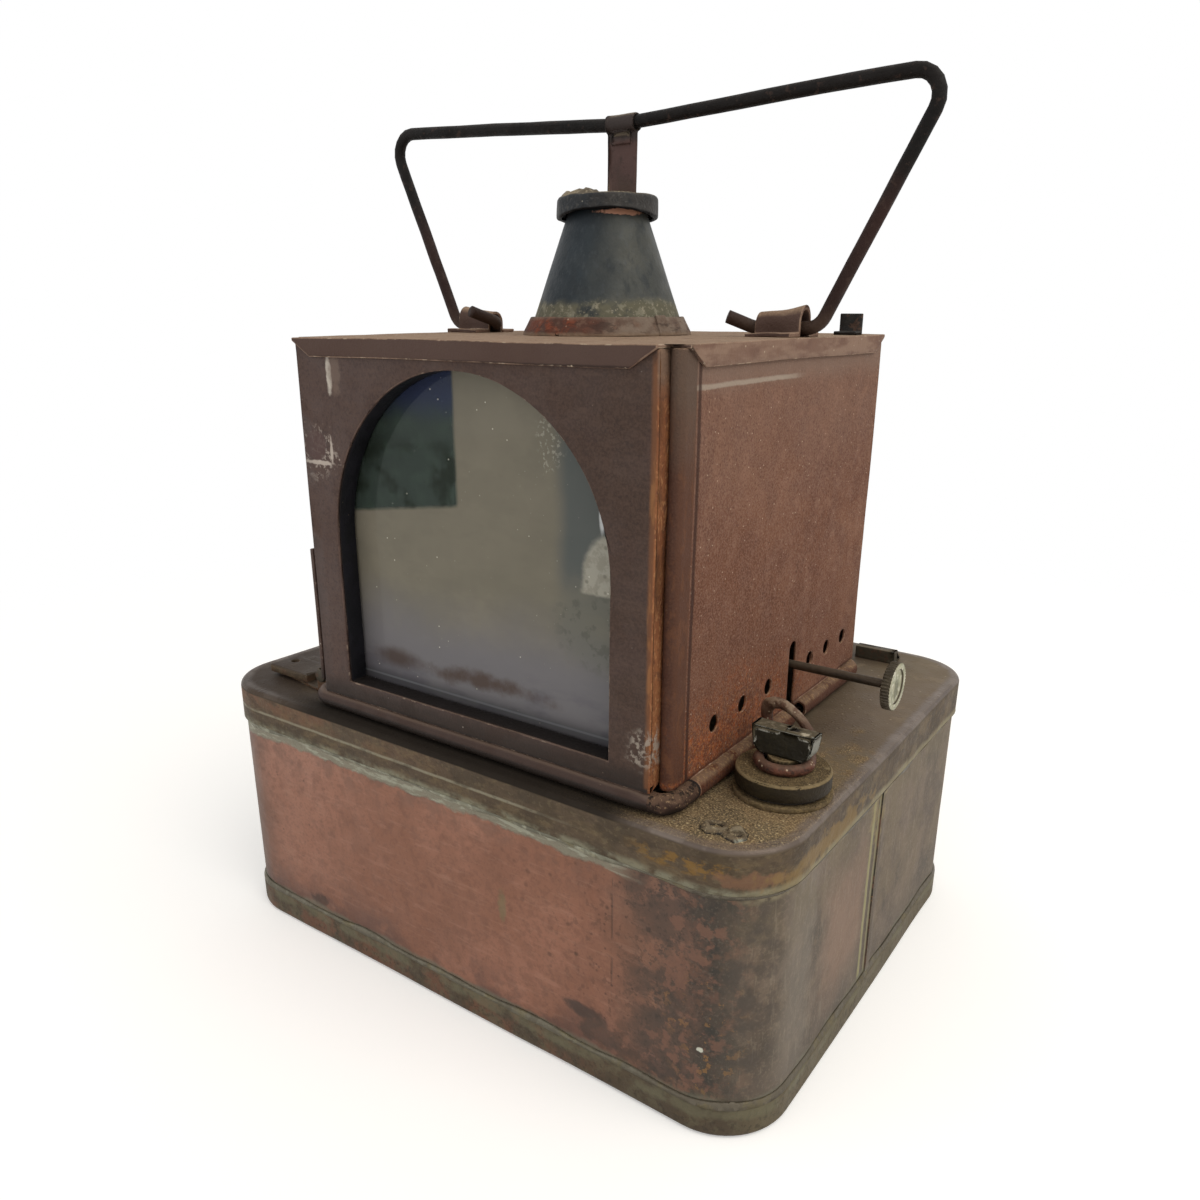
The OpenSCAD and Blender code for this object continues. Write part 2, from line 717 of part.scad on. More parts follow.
// Blown chimney glass: a tapering outline with a slight belly
module chimney_glass() {
  wall = 1;
  bulge = 1.1;
  steps = 12;
  foot_z = burner_top + 0.3;
  outline = [for (i = [0 : steps]) let (t = i / steps)
    [chimney_r + (chimney_top_r - chimney_r) * t + bulge * sin(180 * t) * (1 - t), foot_z + chimney_h * t]];
  color("#b8bcae", 0.5) translate([case_x, burner_y, 0]) rotate_extrude()
    polygon(concat(outline, [for (p = reversed(outline)) [p[0] - wall, p[1]]]));
}

module filler_washer() {
  color("#2e2a26") translate([filler_x, filler_y, washer_z]) ring(filler_d / 2 - 1.2, neck_r, washer_t);
}

// Copper wire: a ring round the stem, an arch behind the wing and a leg down through the eye
module keeper_wire() {
  ring_steps = 20;
  leave = near_leg_angle - acos(keeper_r / near_leg_r);
  begin = leave + acos(keeper_r / (keeper_r + keeper_d + 0.3));
  arch_z = filler_top + keeper_rise - keeper_d / 2;
  route = concat(
    [for (i = [0 : ring_steps]) let (a = begin + (leave + 360 - begin) * i / (ring_steps + 1))
      [filler_x + keeper_r * cos(a), filler_y + keeper_r * sin(a), keeper_z]],
    rounded_route([[filler_x + keeper_r * cos(leave), filler_y + keeper_r * sin(leave), keeper_z],
      [near_leg[0], near_leg[1], keeper_z], [near_leg[0], near_leg[1], arch_z],
      [far_leg[0], far_leg[1], arch_z], [far_leg[0], far_leg[1], tank_h + 0.8]],
      [0, 1.6, keeper_arch_r - 0.05, keeper_arch_r - 0.05, 0], 6));
  color("#8a5a46") swept_wire(route, keeper_d / 2, 12, [0, 0, 1]);
}

module filler_cap() {
  r = filler_d / 2;
  edge = 0.5;
  plug_h = 7.8;
  color("#4f4a42") translate([filler_x, filler_y, 0]) {
    rotate_extrude()
      polygon([[0, filler_z], [r, filler_z], [r, filler_top - edge], [r - edge, filler_top], [0, filler_top]]);
    post(0, 0, filler_z - plug_h, neck_r - plug_play, plug_h);
    post(0, 0, filler_top, stem_r, wing_z - filler_top);
  }
}

// Wing of the filler's cap, its lower corners rounded, with a small pit in its top
module filler_wing() {
  corner = 2.4;
  pit_r = 0.7;
  pit = 1.6;
  color("#3a382e") translate([filler_x, filler_y + wing_t / 2, wing_z]) rotate([90, 0, 0]) difference() {
    linear_extrude(wing_t) {
      translate([-wing_l / 2, corner]) square([wing_l, wing_h - corner]);
      translate([-wing_l / 2 + corner, 0]) square([wing_l - 2 * corner, corner]);
      for (s = [-1, 1]) intersection() {
        translate([s * (wing_l / 2 - corner), corner]) circle(r = corner);
        translate([-wing_l / 2, 0]) square([wing_l, corner]);
      }
    }
    rod_y(1.4, wing_h - pit, wing_t / 2, pit_r, pit + cut);
  }
}

// Front tray: a face with the window and a return folded back along each side
module front_panel() {
  bottom = bead_z + sqrt(pow(bead_d / 2, 2) - pow(bead_in - sheet, 2)) + 0.02;
  h = roof_z - sheet - bottom;
  short = 1.4;
  color(maroon) translate([case_x, front_y, bottom]) {
    difference() {
      translate([-panel_w / 2, 0, 0]) cube([panel_w, sheet, h]);
      translate([0, sheet + cut, case_z + window_sill - bottom]) rotate([90, 0, 0])
        linear_extrude(sheet + 2 * cut) arch_outline(window_w, window_h);
    }
    for (s = [0, 1]) mirror([s, 0, 0])
      translate([panel_w / 2 - sheet, sheet, short]) cube([sheet, tray_return - sheet, h - short]);
  }
}

module window_liner() {
  color("#241d1b") translate([case_x, front_y + sheet + liner_depth, case_z + window_sill]) rotate([90, 0, 0])
    linear_extrude(liner_depth) difference() {
      translate([0, -sheet]) arch_outline(window_w + 2 * sheet, window_h + 2 * sheet);
      arch_outline(window_w, window_h);
    }
}

module window_glass() {
  color("#6f6f66", 0.45) translate([case_x - glass_w / 2, glass_y, glass_bottom])
    cube([glass_w, glass_t, glass_h]);
}

// Folded channel for the glass, in plan with its mouth towards +X
module channel_plan(arm, reach) {
  gap = glass_t + 2 * glass_play;
  translate([-reach, 0]) square([arm + reach, sheet]);
  translate([0, sheet]) square([sheet, gap]);
  translate([0, sheet + gap]) square([arm, sheet]);
}

// Upright channel at one side of the glass, and the space from it to the panel's return
channel_arm = 3.6;
channel_x = glass_w / 2 + glass_play + sheet;
module glass_channel_side() {
  translate([-channel_x, front_y + tray_return, glass_bottom]) linear_extrude(glass_h)
    channel_plan(channel_arm, panel_w / 2 - channel_x - 0.02);
}

module glass_channel_left() {
  color(maroon) translate([case_x, 0, 0]) glass_channel_side();
}

module glass_channel_right() {
  color(maroon) translate([case_x, 0, 0]) mirror([1, 0, 0]) glass_channel_side();
}

module glass_channel_bottom() {
  run = glass_w - 8;
  arm = 3.2;
  color(maroon) translate([case_x - run / 2, front_y + tray_return, glass_bottom - glass_play - sheet])
    rotate([90, 0, 90]) linear_extrude(run) {
      square([sheet, arm]);
      translate([sheet, 0]) square([glass_t + 2 * glass_play, sheet]);
      translate([sheet + glass_t + 2 * glass_play, 0]) square([sheet, arm]);
    }
}

module front_bead() {
  color(rust) translate([case_x, bead_front_y, bead_z]) difference() {
    wired_edge(bead_d / 2);
    wired_edge(bead_d / 2 - sheet);
  }
}

module rear_bead() {
  color(rust) translate([case_x, back_y, bead_z]) rotate([0, 0, 180]) difference() {
    wired_edge(bead_d / 2);
    wired_edge(bead_d / 2 - sheet);
  }
}

// Side wall at +X of the case's centre, from its rolled upright edge to the back; sheet, post and wired edge
module side_wall_blank() {
  wall_x = case_w / 2 - sheet;
  y0 = post_y;
  y1 = back_y - sheet;
  bead_y0 = bead_front_y + bead_turn + bead_run + 0.1;
  bead_y1 = back_y - bead_turn - bead_run - 0.1;
  difference() {
    union() {
      translate([wall_x, y0, bead_top + 0.05]) cube([sheet, y1 - y0, roof_z - sheet - bead_top - 0.05]);
      translate([wall_x, bead_y0, bead_z]) cube([sheet, bead_y1 - bead_y0, bead_d]);
      rod_y(case_w / 2 + bead_out, bead_y0, bead_z, bead_d / 2, bead_y1 - bead_y0);
      post(case_w / 2 - post_d / 2, y0, bead_top + 0.05, post_d / 2, roof_z - sheet - bead_top - 0.05);
    }
    rod_y(case_w / 2 + bead_out, bead_y0 - cut, bead_z, bead_d / 2 - sheet, bead_y1 - bead_y0 + 2 * cut);
    post(case_w / 2 - post_d / 2, y0, case_z - cut, post_d / 2 - sheet, case_h + 2 * cut);
  }
}

// Row of air holes before and behind the spindle's slot, so many of them behind it
module vent_holes(rear) {
  front = [for (i = [1 : 3]) -i * vent_pitch_front];
  behind = [for (i = [1 : rear]) i * vent_pitch_rear];
  for (y = concat(front, behind))
    rod_x(case_w / 2 - 2 * cut, winder_y + y, case_z + vent_z, vent_d / 2, 4 * cut);
}

// Right wall: the slot for the spindle is open at the bottom, with a notch in the wired edge beside it
module right_wall() {
  slot_top = spindle_z + slot_rise;
  slot_y = winder_y - slot_w / 2;
  notch = 2.4;
  color(rust) translate([case_x, 0, 0]) difference() {
    side_wall_blank();
    vent_holes(3);
    rod_x(case_w / 2 - bead_d, winder_y, slot_top, slot_w / 2, 2 * bead_d);
    translate([case_w / 2 - bead_d, slot_y, case_z - cut]) cube([2 * bead_d, slot_w, slot_top - case_z + cut]);
    translate([case_w / 2 + 0.4, slot_y, case_z - cut]) cube([bead_d, slot_w + notch, bead_d + 2 * cut]);
  }
}

module left_wall() {
  color(rust) translate([case_x, 0, 0]) mirror([1, 0, 0]) difference() {
    side_wall_blank();
    vent_holes(2);
  }
}

module back_wall() {
  bottom = bead_top + 0.02;
  h = roof_z - sheet - bottom;
  color(rust) translate([case_x, back_y, bottom]) {
    translate([-case_w / 2, -sheet, 0]) cube([case_w, sheet, h]);
    for (s = [0, 1]) mirror([s, 0, 0])
      translate([case_w / 2 - 2 * sheet, -back_flange, 1]) cube([sheet, back_flange - sheet, h - 1]);
  }
}

module roof() {
  side_front = post_y - 0.1;
  side_len = back_y - side_front;
  color(roof_dust) difference() {
    union() {
      translate([case_x - panel_w / 2, front_y - sheet, roof_z - sheet])
        cube([panel_w, case_d + 2 * sheet, sheet]);
      translate([left_x - sheet, side_front, roof_z - sheet]) cube([case_w + 2 * sheet, side_len, sheet]);
      translate([case_x, front_y, roof_z - sheet]) lip(panel_w);
      translate([case_x, back_y, roof_z - sheet]) rotate([0, 0, 180]) lip(panel_w);
      translate([right_x, side_front + side_len / 2, roof_z - sheet]) rotate([0, 0, 90]) lip(side_len);
      translate([left_x, side_front + side_len / 2, roof_z - sheet]) rotate([0, 0, 270]) lip(side_len);
    }
    post(case_x, burner_y, roof_z - 2 * cut, flue_hole_r, 4 * cut);
  }
}

// Flared collar of the flue, with the lap where its strip's ends are joined
module flue_collar() {
  r0 = collar_base_d / 2;
  r1 = cone_base_d / 2 + 0.9;
  edge = 0.9;
  lap = [-20, 9];
  lap_h = collar_h + 0.4;
  color("#5e3a30") translate([case_x, burner_y, roof_z]) {
    rotate_extrude()
      polygon([[cone_base_d / 2 + 0.05, 0], [r0, 0], [r0 - 0.2, edge], [r1, collar_h], [r1 - 0.85, collar_h]]);
    rotate([0, 0, lap[0]]) rotate_extrude(angle = lap[1])
      polygon([[r0 - 0.4, 0], [r0 + 0.5, 0], [r0 + 0.3, edge], [r1 + 0.6, lap_h], [r1 - 0.1, lap_h]]);
  }
}

// Cone of the flue, with a short straight foot inside the collar
module flue_cone() {
  r0 = cone_base_d / 2;
  r1 = cone_top_d / 2;
  foot_t = 0.9;
  color(soot) translate([case_x, burner_y, roof_z]) rotate_extrude()
    polygon([[r0 - foot_t, 0], [r0, 0], [r0, collar_h - 0.6], [r1, cone_h], [r1 - cone_sheet, cone_h],
      [r0 - foot_t, collar_h - 0.9]]);
}

// Turned cap with a rolled rim, a dished top and a hole for the strap's rivet
module flue_cap() {
  r = cap_d / 2;
  roll = 1.3;
  top = cap_h - cap_dish;
  under = top - cap_t;
  color("#3d3d3a") translate([case_x, burner_y, cap_rim_z]) rotate_extrude() polygon(concat(
    [[r - 0.9, 0.5]], arc([r - 0.65, 0.5], 0.65, 200, 360, 6),
    arc([r - roll, cap_h - roll], roll, 0, 90, 6),
    [[r - 2.6, cap_h - 0.2], [r - 3.6, top], [strap_rivet_r, top], [strap_rivet_r, under], [r - 3.6, under]],
    arc([r - roll, cap_h - roll - 0.1], roll - cap_t, 90, 0, 4)));
}

// Three legs inside the cone that carry the cap's plate
module cap_legs() {
  leg_w = 4;
  leg_t = 0.9;
  leg_r = sqrt(pow(cone_top_d / 2 - cone_sheet, 2) - pow(leg_w / 2, 2));
  leg_z = cone_top_z - 5;
  color(soot) translate([case_x, burner_y, 0]) for (a = [50, 170, 290]) rotate([0, 0, a])
    translate([leg_r - leg_t, -leg_w / 2, leg_z]) cube([leg_t, leg_w, cap_plate_z - cap_t - leg_z]);
}

// Pierced plate on three tabs below the flue's opening
module draught_baffle() {
  drop = 7;
  plate_r = flue_hole_r + 3.4;
  hole_ring = 9.5;
  hole_r = 2.2;
  tab_w = 5;
  tab_in = 2.2;
  color(soot) translate([case_x, burner_y, roof_z - sheet - drop]) {
    difference() {
      cylinder(r = plate_r, h = sheet);
      for (a = [0 : 45 : 315]) rotate([0, 0, a]) post(hole_ring, 0, -cut, hole_r, sheet + 2 * cut);
    }
    for (a = [30, 150, 270]) rotate([0, 0, a])
      translate([plate_r - tab_in, -tab_w / 2, sheet]) cube([sheet, tab_w, drop - sheet]);
  }
}

// The handle's bar, shoulders, legs and feet in one bent wire; the left end turns forward, the right end inward
module handle_wire() {
  left_turn = foot_reach - 19;
  right_turn = foot_reach - 17.2;
  bar_dip = -1.4;
  left_tip = [-3.2, -11.5, 4];
  right_tip = [-6, -4, 2.7];
  corners = [[-left_turn, 0, foot_z] + left_tip, [-left_turn, 0, foot_z], [-foot_reach, 0, foot_z],
    [-shoulder_left, 0, shoulder_z_left], [bar_dip, 0, dip_z], [shoulder_right, 0, shoulder_z_right],
    [foot_reach, 0, foot_z], [right_turn, 0, foot_z], [right_turn, 0, foot_z] + right_tip];
  bends = [0, 4, foot_bend, shoulder_bend, dip_bend, shoulder_bend, foot_bend, foot_bend, 0];
  color(iron) swept_wire(
    rounded_route([for (c = corners) [case_x, handle_y, roof_z] + c], bends, 6), handle_d / 2, 16, [0, 0, 1]);
}

// Flat strap: foot on the flue's cap, leg up under the bar, rolled round it to a tongue in front
module handle_strap() {
  bar_r = handle_d / 2 + 0.2;
  bar_z = roof_z + dip_z + 0.14;
  leg_y = handle_y - strap_t / 2;
  foot_front = burner_y - 6;
  tongue = 2.2;
  tongue_in = 1.5;
  color(iron) translate([strap_x - strap_w / 2, 0, 0]) {
    translate([0, leg_y, cap_plate_z]) cube([strap_w, strap_t, bar_z - bar_r - cap_plate_z - 0.1]);
    translate([0, handle_y, bar_z]) rotate([90, 0, 90]) ring(bar_r + strap_t, bar_r, strap_w);
    translate([tongue_in, leg_y - strap_t, bar_z - bar_r - strap_t - tongue])
      cube([strap_w - 2 * tongue_in, strap_t, tongue + strap_t / 2]);
    difference() {
      translate([0, foot_front, cap_plate_z]) cube([strap_w, leg_y + strap_t - foot_front, strap_t]);
      post(case_x - strap_x + strap_w / 2, burner_y, cap_plate_z - cut, strap_rivet_r, strap_t + 2 * cut);
    }
  }
}

// Rivet through the cap's plate and the strap's foot
module strap_rivet() {
  head = 1;
  head_r = 2.9;
  tail_r = 2.6;
  color(iron) translate([case_x, burner_y, cap_plate_z]) {
    post(0, 0, -cap_t - head, strap_rivet_r, cap_t + head + strap_t);
    translate([0, 0, strap_t]) cylinder(r1 = head_r, r2 = head_r - 1, h = head);
    post(0, 0, -cap_t - head, tail_r, head);
  }
}

// Sheet saddle over a foot of the handle, with two flanges on the roof
module saddle(x) {
  inner = handle_d / 2 + 0.9;
  t = 0.9;
  outer = inner + t;
  flange = 5.4;
  far = outer + flange;
  centre = [0, foot_z + 0.5];
  color("#5a4a3e") translate([x - saddle_w / 2, handle_y, roof_z]) rotate([90, 0, 90]) linear_extrude(saddle_w)
    polygon(concat([[-inner, 0], [-far, 0], [-far, t], [-outer, t]], arc(centre, outer, 180, 0, 16),
      [[outer, t], [far, t], [far, 0], [inner, 0]], arc(centre, inner, 0, 180, 16)));
}

module saddle_left() {
  saddle(case_x - foot_reach + saddle_in);
}

module saddle_right() {
  saddle(case_x + foot_reach - saddle_in);
}

// Hinge strap: leaf on the wall, a step out over the wired edge and a knuckle round the pin
module hinge_strap(y) {
  step_z = hinge_z + knuckle_d / 2 - leaf_t;
  translate([left_x - leaf_t, y - leaf_w / 2 - leaf_wing, step_z])
    cube([leaf_t, leaf_w / 2 + leaf_wing, leaf_h]);
  translate([0, y + leaf_w / 2, 0]) rotate([90, 0, 0]) linear_extrude(leaf_w) difference() {
    union() {
      translate([left_x - leaf_t, step_z]) square([leaf_t, leaf_h]);
      translate([hinge_x, step_z]) square([left_x - hinge_x, leaf_t]);
      translate([hinge_x, hinge_z]) circle(d = knuckle_d);
    }
    translate([hinge_x, hinge_z]) circle(r = pin_d / 2 + pin_play);
  }
}

module hinge_strap_front() {
  color(maroon) hinge_strap(leaf_front_y);
}

module hinge_strap_rear() {
  color(maroon) hinge_strap(leaf_rear_y);
}

// Two rivets through each hinge strap
module strap_rivets() {
  heights = [12, 30];
  color(iron) for (y = [leaf_front_y, leaf_rear_y], z = heights)
    translate([left_x - leaf_t, y, hinge_z + z]) rotate([0, -90, 0]) cylinder(r1 = 2, r2 = 1.3, h = 0.8);
}

// Folded tab at the roof's rear right corner
module roof_tab() {
  tab_w = 6.4;
  tab_t = 1;
  tab_h = 5.6;
  foot = 4;
  inset = 9.2;
  color(iron) translate([right_x - inset, back_y - inset, roof_z]) {
    cube([tab_w, tab_t, tab_h]);
    translate([0, -foot, 0]) cube([tab_w, foot, tab_t]);
  }
}

tank_wall();
tank_top();
tank_bottom();
tank_solder();
filler_neck();
keeper_eye();
solder_scar();
catch_lug();
hinge_bracket_front();
hinge_bracket_rear();
hinge_pin_front();
hinge_pin_rear();
burner_collar();
burner_shell();
wick_tube();
gallery_prongs();
spindle_bushes();
winder_spindle();
winder_knob();
wick_wheels();
wick();
chimney_glass();
filler_washer();
keeper_wire();
filler_cap();
filler_wing();
front_panel();
window_liner();
window_glass();
glass_channel_left();
glass_channel_right();
glass_channel_bottom();
front_bead();
rear_bead();
right_wall();
left_wall();
back_wall();
roof();
flue_collar();
flue_cone();
flue_cap();
cap_legs();
draught_baffle();
handle_wire();
handle_strap();
strap_rivet();
saddle_left();
saddle_right();
hinge_strap_front();
hinge_strap_rear();
strap_rivets();
roof_tab();
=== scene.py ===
import math
import bmesh
import bpy
from mathutils import Matrix, Vector, noise


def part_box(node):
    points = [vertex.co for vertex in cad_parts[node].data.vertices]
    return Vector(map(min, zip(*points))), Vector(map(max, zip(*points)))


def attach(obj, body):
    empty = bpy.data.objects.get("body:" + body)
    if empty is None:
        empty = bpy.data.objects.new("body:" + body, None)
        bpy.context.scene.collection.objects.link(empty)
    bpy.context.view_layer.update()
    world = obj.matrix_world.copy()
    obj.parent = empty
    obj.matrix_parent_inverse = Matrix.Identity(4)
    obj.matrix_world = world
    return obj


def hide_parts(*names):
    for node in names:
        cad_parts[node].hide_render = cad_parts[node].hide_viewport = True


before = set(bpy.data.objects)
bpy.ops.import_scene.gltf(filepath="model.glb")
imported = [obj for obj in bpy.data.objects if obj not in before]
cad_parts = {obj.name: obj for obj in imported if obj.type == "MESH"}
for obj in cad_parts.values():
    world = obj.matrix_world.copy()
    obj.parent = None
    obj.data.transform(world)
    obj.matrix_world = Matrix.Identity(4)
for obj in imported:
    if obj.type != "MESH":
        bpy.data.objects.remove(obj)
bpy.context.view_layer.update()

mm = 0.001
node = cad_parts
scene = bpy.context.scene


# Camera. It stands a little above the lamp's front right corner and looks down at it, as the photographer
# did. The small shifts only place the lamp in the frame.
eye = bpy.data.cameras.new("photographers_camera")
eye.lens = 29.16
eye.sensor_width = 36
eye.shift_x = 0.0186
eye.shift_y = 0.031
eye.clip_start = 10 * mm
heading = Matrix.Rotation(math.radians(36.02), 4, "Z")
pitch = Matrix.Rotation(math.radians(71.46), 4, "X")
roll = Matrix.Rotation(math.radians(-0.148), 4, "Z")
camera = bpy.data.objects.new("photographers_camera", eye)
camera.matrix_world = Matrix.Translation((165 * mm, -239.64 * mm, 187.11 * mm)) @ heading @ pitch @ roll
scene.collection.objects.link(camera)
scene.camera = camera
scene.view_settings.view_transform = "Standard"


# Studio. A pale floor runs far out under a plain sky, and one wide soft lamp hangs above the right of the
# table. The far floor and the sky are white to the eye and to mirrors, while near the lamp the floor keeps
# its shadow.
def colour(hexa):
    """A colour written in sRGB hex, as the linear values that a shader takes"""
    parts = [int(hexa[i:i + 2], 16) / 255 for i in (1, 3, 5)]
    linear = [v / 12.92 if v <= 0.04045 else ((v + 0.055) / 1.055) ** 2.4 for v in parts]
    return (*linear, 1)


def add(kind, links=None, out=None, **settings):
    """Adds one node with its settings and links to the tree in hand, and returns the socket that it gives"""
    made = tree.nodes.new("ShaderNode" + kind)
    for name, value in settings.items():
        setattr(made, name, value)
    for name, value in (links or {}).items():
        named = [socket for socket in made.inputs if socket.name == name and socket.enabled]
        socket = made.inputs[name] if isinstance(name, int) else named[0]
        if isinstance(value, bpy.types.NodeSocket):
            tree.links.new(value, socket)
        else:
            socket.default_value = value
    if out:
        return made.outputs[out]
    return next((socket for socket in made.outputs if socket.enabled), None)


def new_finish(name):
    """An empty finish. The nodes that follow are added to it, until the next one is begun"""
    global tree
    made = bpy.data.materials.new(name)
    made.use_nodes = True
    tree = made.node_tree
    tree.nodes.clear()
    return made


def either(*masks):
    """Where any of these masks is"""
    most = masks[0]
    for mask in masks[1:]:
        most = add("Math", {0: most, 1: mask}, operation="MAXIMUM")
    return most


def seen_directly():
    """1 for what the camera, a mirror or a glass sees, and 0 for the light that falls on things"""
    ray = add("LightPath").node.outputs
    return either(ray["Is Camera Ray"], ray["Is Glossy Ray"], ray["Is Transmission Ray"])


sky = bpy.data.worlds.new("plain_sky")
sky.use_nodes = True
tree = sky.node_tree
tree.nodes.clear()
sky_light = add("Background", {"Color": colour("#fffdf9"), "Strength": 0.66})
sky_white = add("Background", {"Color": colour("#ffffff"), "Strength": 1.0})
sky_mix = add("MixShader", {"Fac": seen_directly(), 1: sky_light, 2: sky_white})
add("OutputWorld", {"Surface": sky_mix})
scene.world = sky

floor_reach = 6.0
floor_shape = bmesh.new()
bmesh.ops.create_circle(floor_shape, cap_ends=True, segments=64, radius=floor_reach)
floor_mesh = bpy.data.meshes.new("table_top")
floor_shape.to_mesh(floor_mesh)
floor_shape.free()
floor = bpy.data.objects.new("table_top", floor_mesh)
scene.collection.objects.link(floor)
paper = new_finish("matt_white_paper")
paper_place = add("TexCoord", out="Object")
paper_away = add("VectorMath", {0: paper_place}, operation="LENGTH", out="Value")
paper_far = add("MapRange", {"Value": paper_away, "From Min": 0.2, "From Max": 0.55},
                interpolation_type="SMOOTHSTEP")
paper_matt = add("BsdfDiffuse", {"Color": colour("#f4f3f1")})
paper_glow = add("Emission", {"Color": colour("#ffffff"), "Strength": 1.0})
paper_lift = add("Emission", {"Color": colour("#ffffff"), "Strength": 0.28})
paper_near = add("AddShader", {0: paper_matt, 1: paper_lift})
paper_mix = add("MixShader", {"Fac": paper_far, 1: paper_near, 2: paper_glow})
paper_seen = add("MixShader", {"Fac": seen_directly(), 1: paper_matt, 2: paper_mix})
add("OutputMaterial", {"Surface": paper_seen})
floor_mesh.materials.append(paper)


def soft_lamp(name, place, target, width, watts, tint):
    """A square lamp with a wide cloth over it, aimed at a point of the lamp"""
    panel = bpy.data.lights.new(name, "AREA")
    panel.shape = "SQUARE"
    panel.size = width
    panel.energy = watts
    panel.color = colour(tint)[:3]
    lamp = bpy.data.objects.new(name, panel)
    lamp.location = place
    lamp.rotation_euler = (Vector(target) - Vector(place)).to_track_quat("-Z", "Y").to_euler()
    scene.collection.objects.link(lamp)


soft_lamp("window_light", place=(0.75, -0.12, 1.05), target=(0.02, 0, 0.12), width=0.9, watts=6.5,
          tint="#fffaf2")
soft_lamp("room_light", place=(-0.45, -0.95, 0.5), target=(0, 0, 0.12), width=1.2, watts=1.8, tint="#f6f9ff")


# Tank wall. One strip of copper sheet is bent round four corners and folded into a seam on the right side.
# Handling has kept the front bright in its middle; the right corner and side are dark with patina, and solder
# has run out along both flanges.
def cad_copy(name):
    """A merged copy of a CAD node's mesh, with its flat faces whole"""
    shape = bmesh.new()
    shape.from_mesh(node[name].data)
    bmesh.ops.remove_doubles(shape, verts=shape.verts, dist=0.004 * mm)
    bmesh.ops.dissolve_limit(shape, angle_limit=math.radians(0.6), verts=shape.verts, edges=shape.edges)
    return shape


def sliced(shape, pitch, axes=(0, 1, 2)):
    """Cuts a shape across its axes every so many mm, so that a sheet can take a bend"""
    # An odd share of the pitch shifts the cuts, which keeps them off the piece's own edges
    offset = 0.437
    for axis in axes:
        across = Vector((axis == 0, axis == 1, axis == 2))
        low = min(v.co[axis] for v in shape.verts)
        high = max(v.co[axis] for v in shape.verts)
        first = math.ceil(low / (pitch * mm) - offset)
        last = math.floor(high / (pitch * mm) - offset)
        for step in range(first, last + 1):
            whole = shape.verts[:] + shape.edges[:] + shape.faces[:]
            place = across * (step + offset) * pitch * mm
            bmesh.ops.bisect_plane(shape, geom=whole, dist=0.001 * mm, plane_co=place, plane_no=across)
    bmesh.ops.remove_doubles(shape, verts=shape.verts, dist=0.03 * mm)
    return shape


# One fixed seed for all the unevenness, so that each run gives the same shapes
noise.seed_set(156)


def beaten(shape, depth=0.32, span=46, ripple=0.05, ripple_span=11):
    """Gives a piece the unevenness of handwork, in mm. All pieces share one field, so what touches still
    touches. It fades out at the hinge pins, the spindle and the filler, so what turns there stays true"""
    pin_x = -57.85 * mm
    pin_z = 83.6 * mm
    spindle_y = -3.4 * mm
    spindle_z = 95.5 * mm
    cap_x = 81.4 * mm
    cap_y = -41.4 * mm
    cap_wider_by = 8
    true_within = 4
    fades_over = 6
    for v in shape.verts:
        slow = noise.noise_vector(v.co / (span * mm))
        quick = noise.noise_vector(v.co / (ripple_span * mm))
        from_pin = Vector((v.co.x - pin_x, v.co.z - pin_z)).length / mm
        from_spindle = Vector((v.co.y - spindle_y, v.co.z - spindle_z)).length / mm
        from_cap = Vector((v.co.x - cap_x, v.co.y - cap_y)).length / mm
        nearest = min(from_pin, from_spindle, from_cap - cap_wider_by)
        share = max(0, min(1, (nearest - true_within) / fades_over))
        v.co += (slow * depth + quick * ripple) * share * mm
    return shape


def piece_from(shape, name, finishes):
    """Turns a finished shape into a smooth-shaded piece with its finishes"""
    mesh = bpy.data.meshes.new(name)
    shape.to_mesh(mesh)
    shape.free()
    mesh.shade_smooth()
    for finish in finishes:
        mesh.materials.append(finish)
    made = bpy.data.objects.new(name, mesh)
    scene.collection.objects.link(made)
    return made


def eased(piece, width, angle=38, worn=-1):
    """Rounds the piece's edges by so many mm; worn is the finish that they show"""
    edge = piece.modifiers.new("eased_edges", "BEVEL")
    edge.width = width * mm
    edge.segments = 2
    edge.limit_method = "ANGLE"
    edge.angle_limit = math.radians(angle)
    edge.use_clamp_overlap = False
    edge.harden_normals = True
    edge.material = worn
    return piece


def mottle(size, low=0.42, high=0.6, stretch=(1, 1, 1), detail=4, seed=0):
    """Ragged patches about size mm across: 1 inside them and 0 between them"""
    place = add("Mapping",
                {"Vector": add("TexCoord", out="Object"), "Scale": stretch, "Location": (seed, seed, seed)})
    cloud = add("TexNoise", {"Vector": place, "Scale": 1 / (size * mm), "Detail": detail, "Roughness": 0.62})
    return add("MapRange", {"Value": cloud, "From Min": low, "From Max": high},
               interpolation_type="SMOOTHSTEP")


def lumps(size, detail=4, seed=0):
    """The same with soft edges, for the swellings of a surface"""
    return mottle(size, 0.3, 0.7, detail=detail, seed=seed)


def along(axis, start, end, rag=0, rag_size=8, seed=0):
    """0 before start and 1 past end, in mm along one axis, with an edge that strays by rag"""
    place = add("SeparateXYZ", {"Vector": add("TexCoord", out="Object")}, out=axis)
    if rag:
        spread = add("Mapping", {"Vector": add("TexCoord", out="Object"), "Location": (seed, seed, seed)})
        stray = add("TexNoise",
                    {"Vector": spread, "Scale": 1 / (rag_size * mm), "Detail": 5, "Roughness": 0.6})
        stray = add("Math", {0: stray, 1: 0.5}, operation="SUBTRACT")
        place = add("Math", {0: stray, 1: 4 * rag * mm, 2: place}, operation="MULTIPLY_ADD")
    return add("MapRange", {"Value": place, "From Min": start * mm, "From Max": end * mm},
               interpolation_type="SMOOTHSTEP")


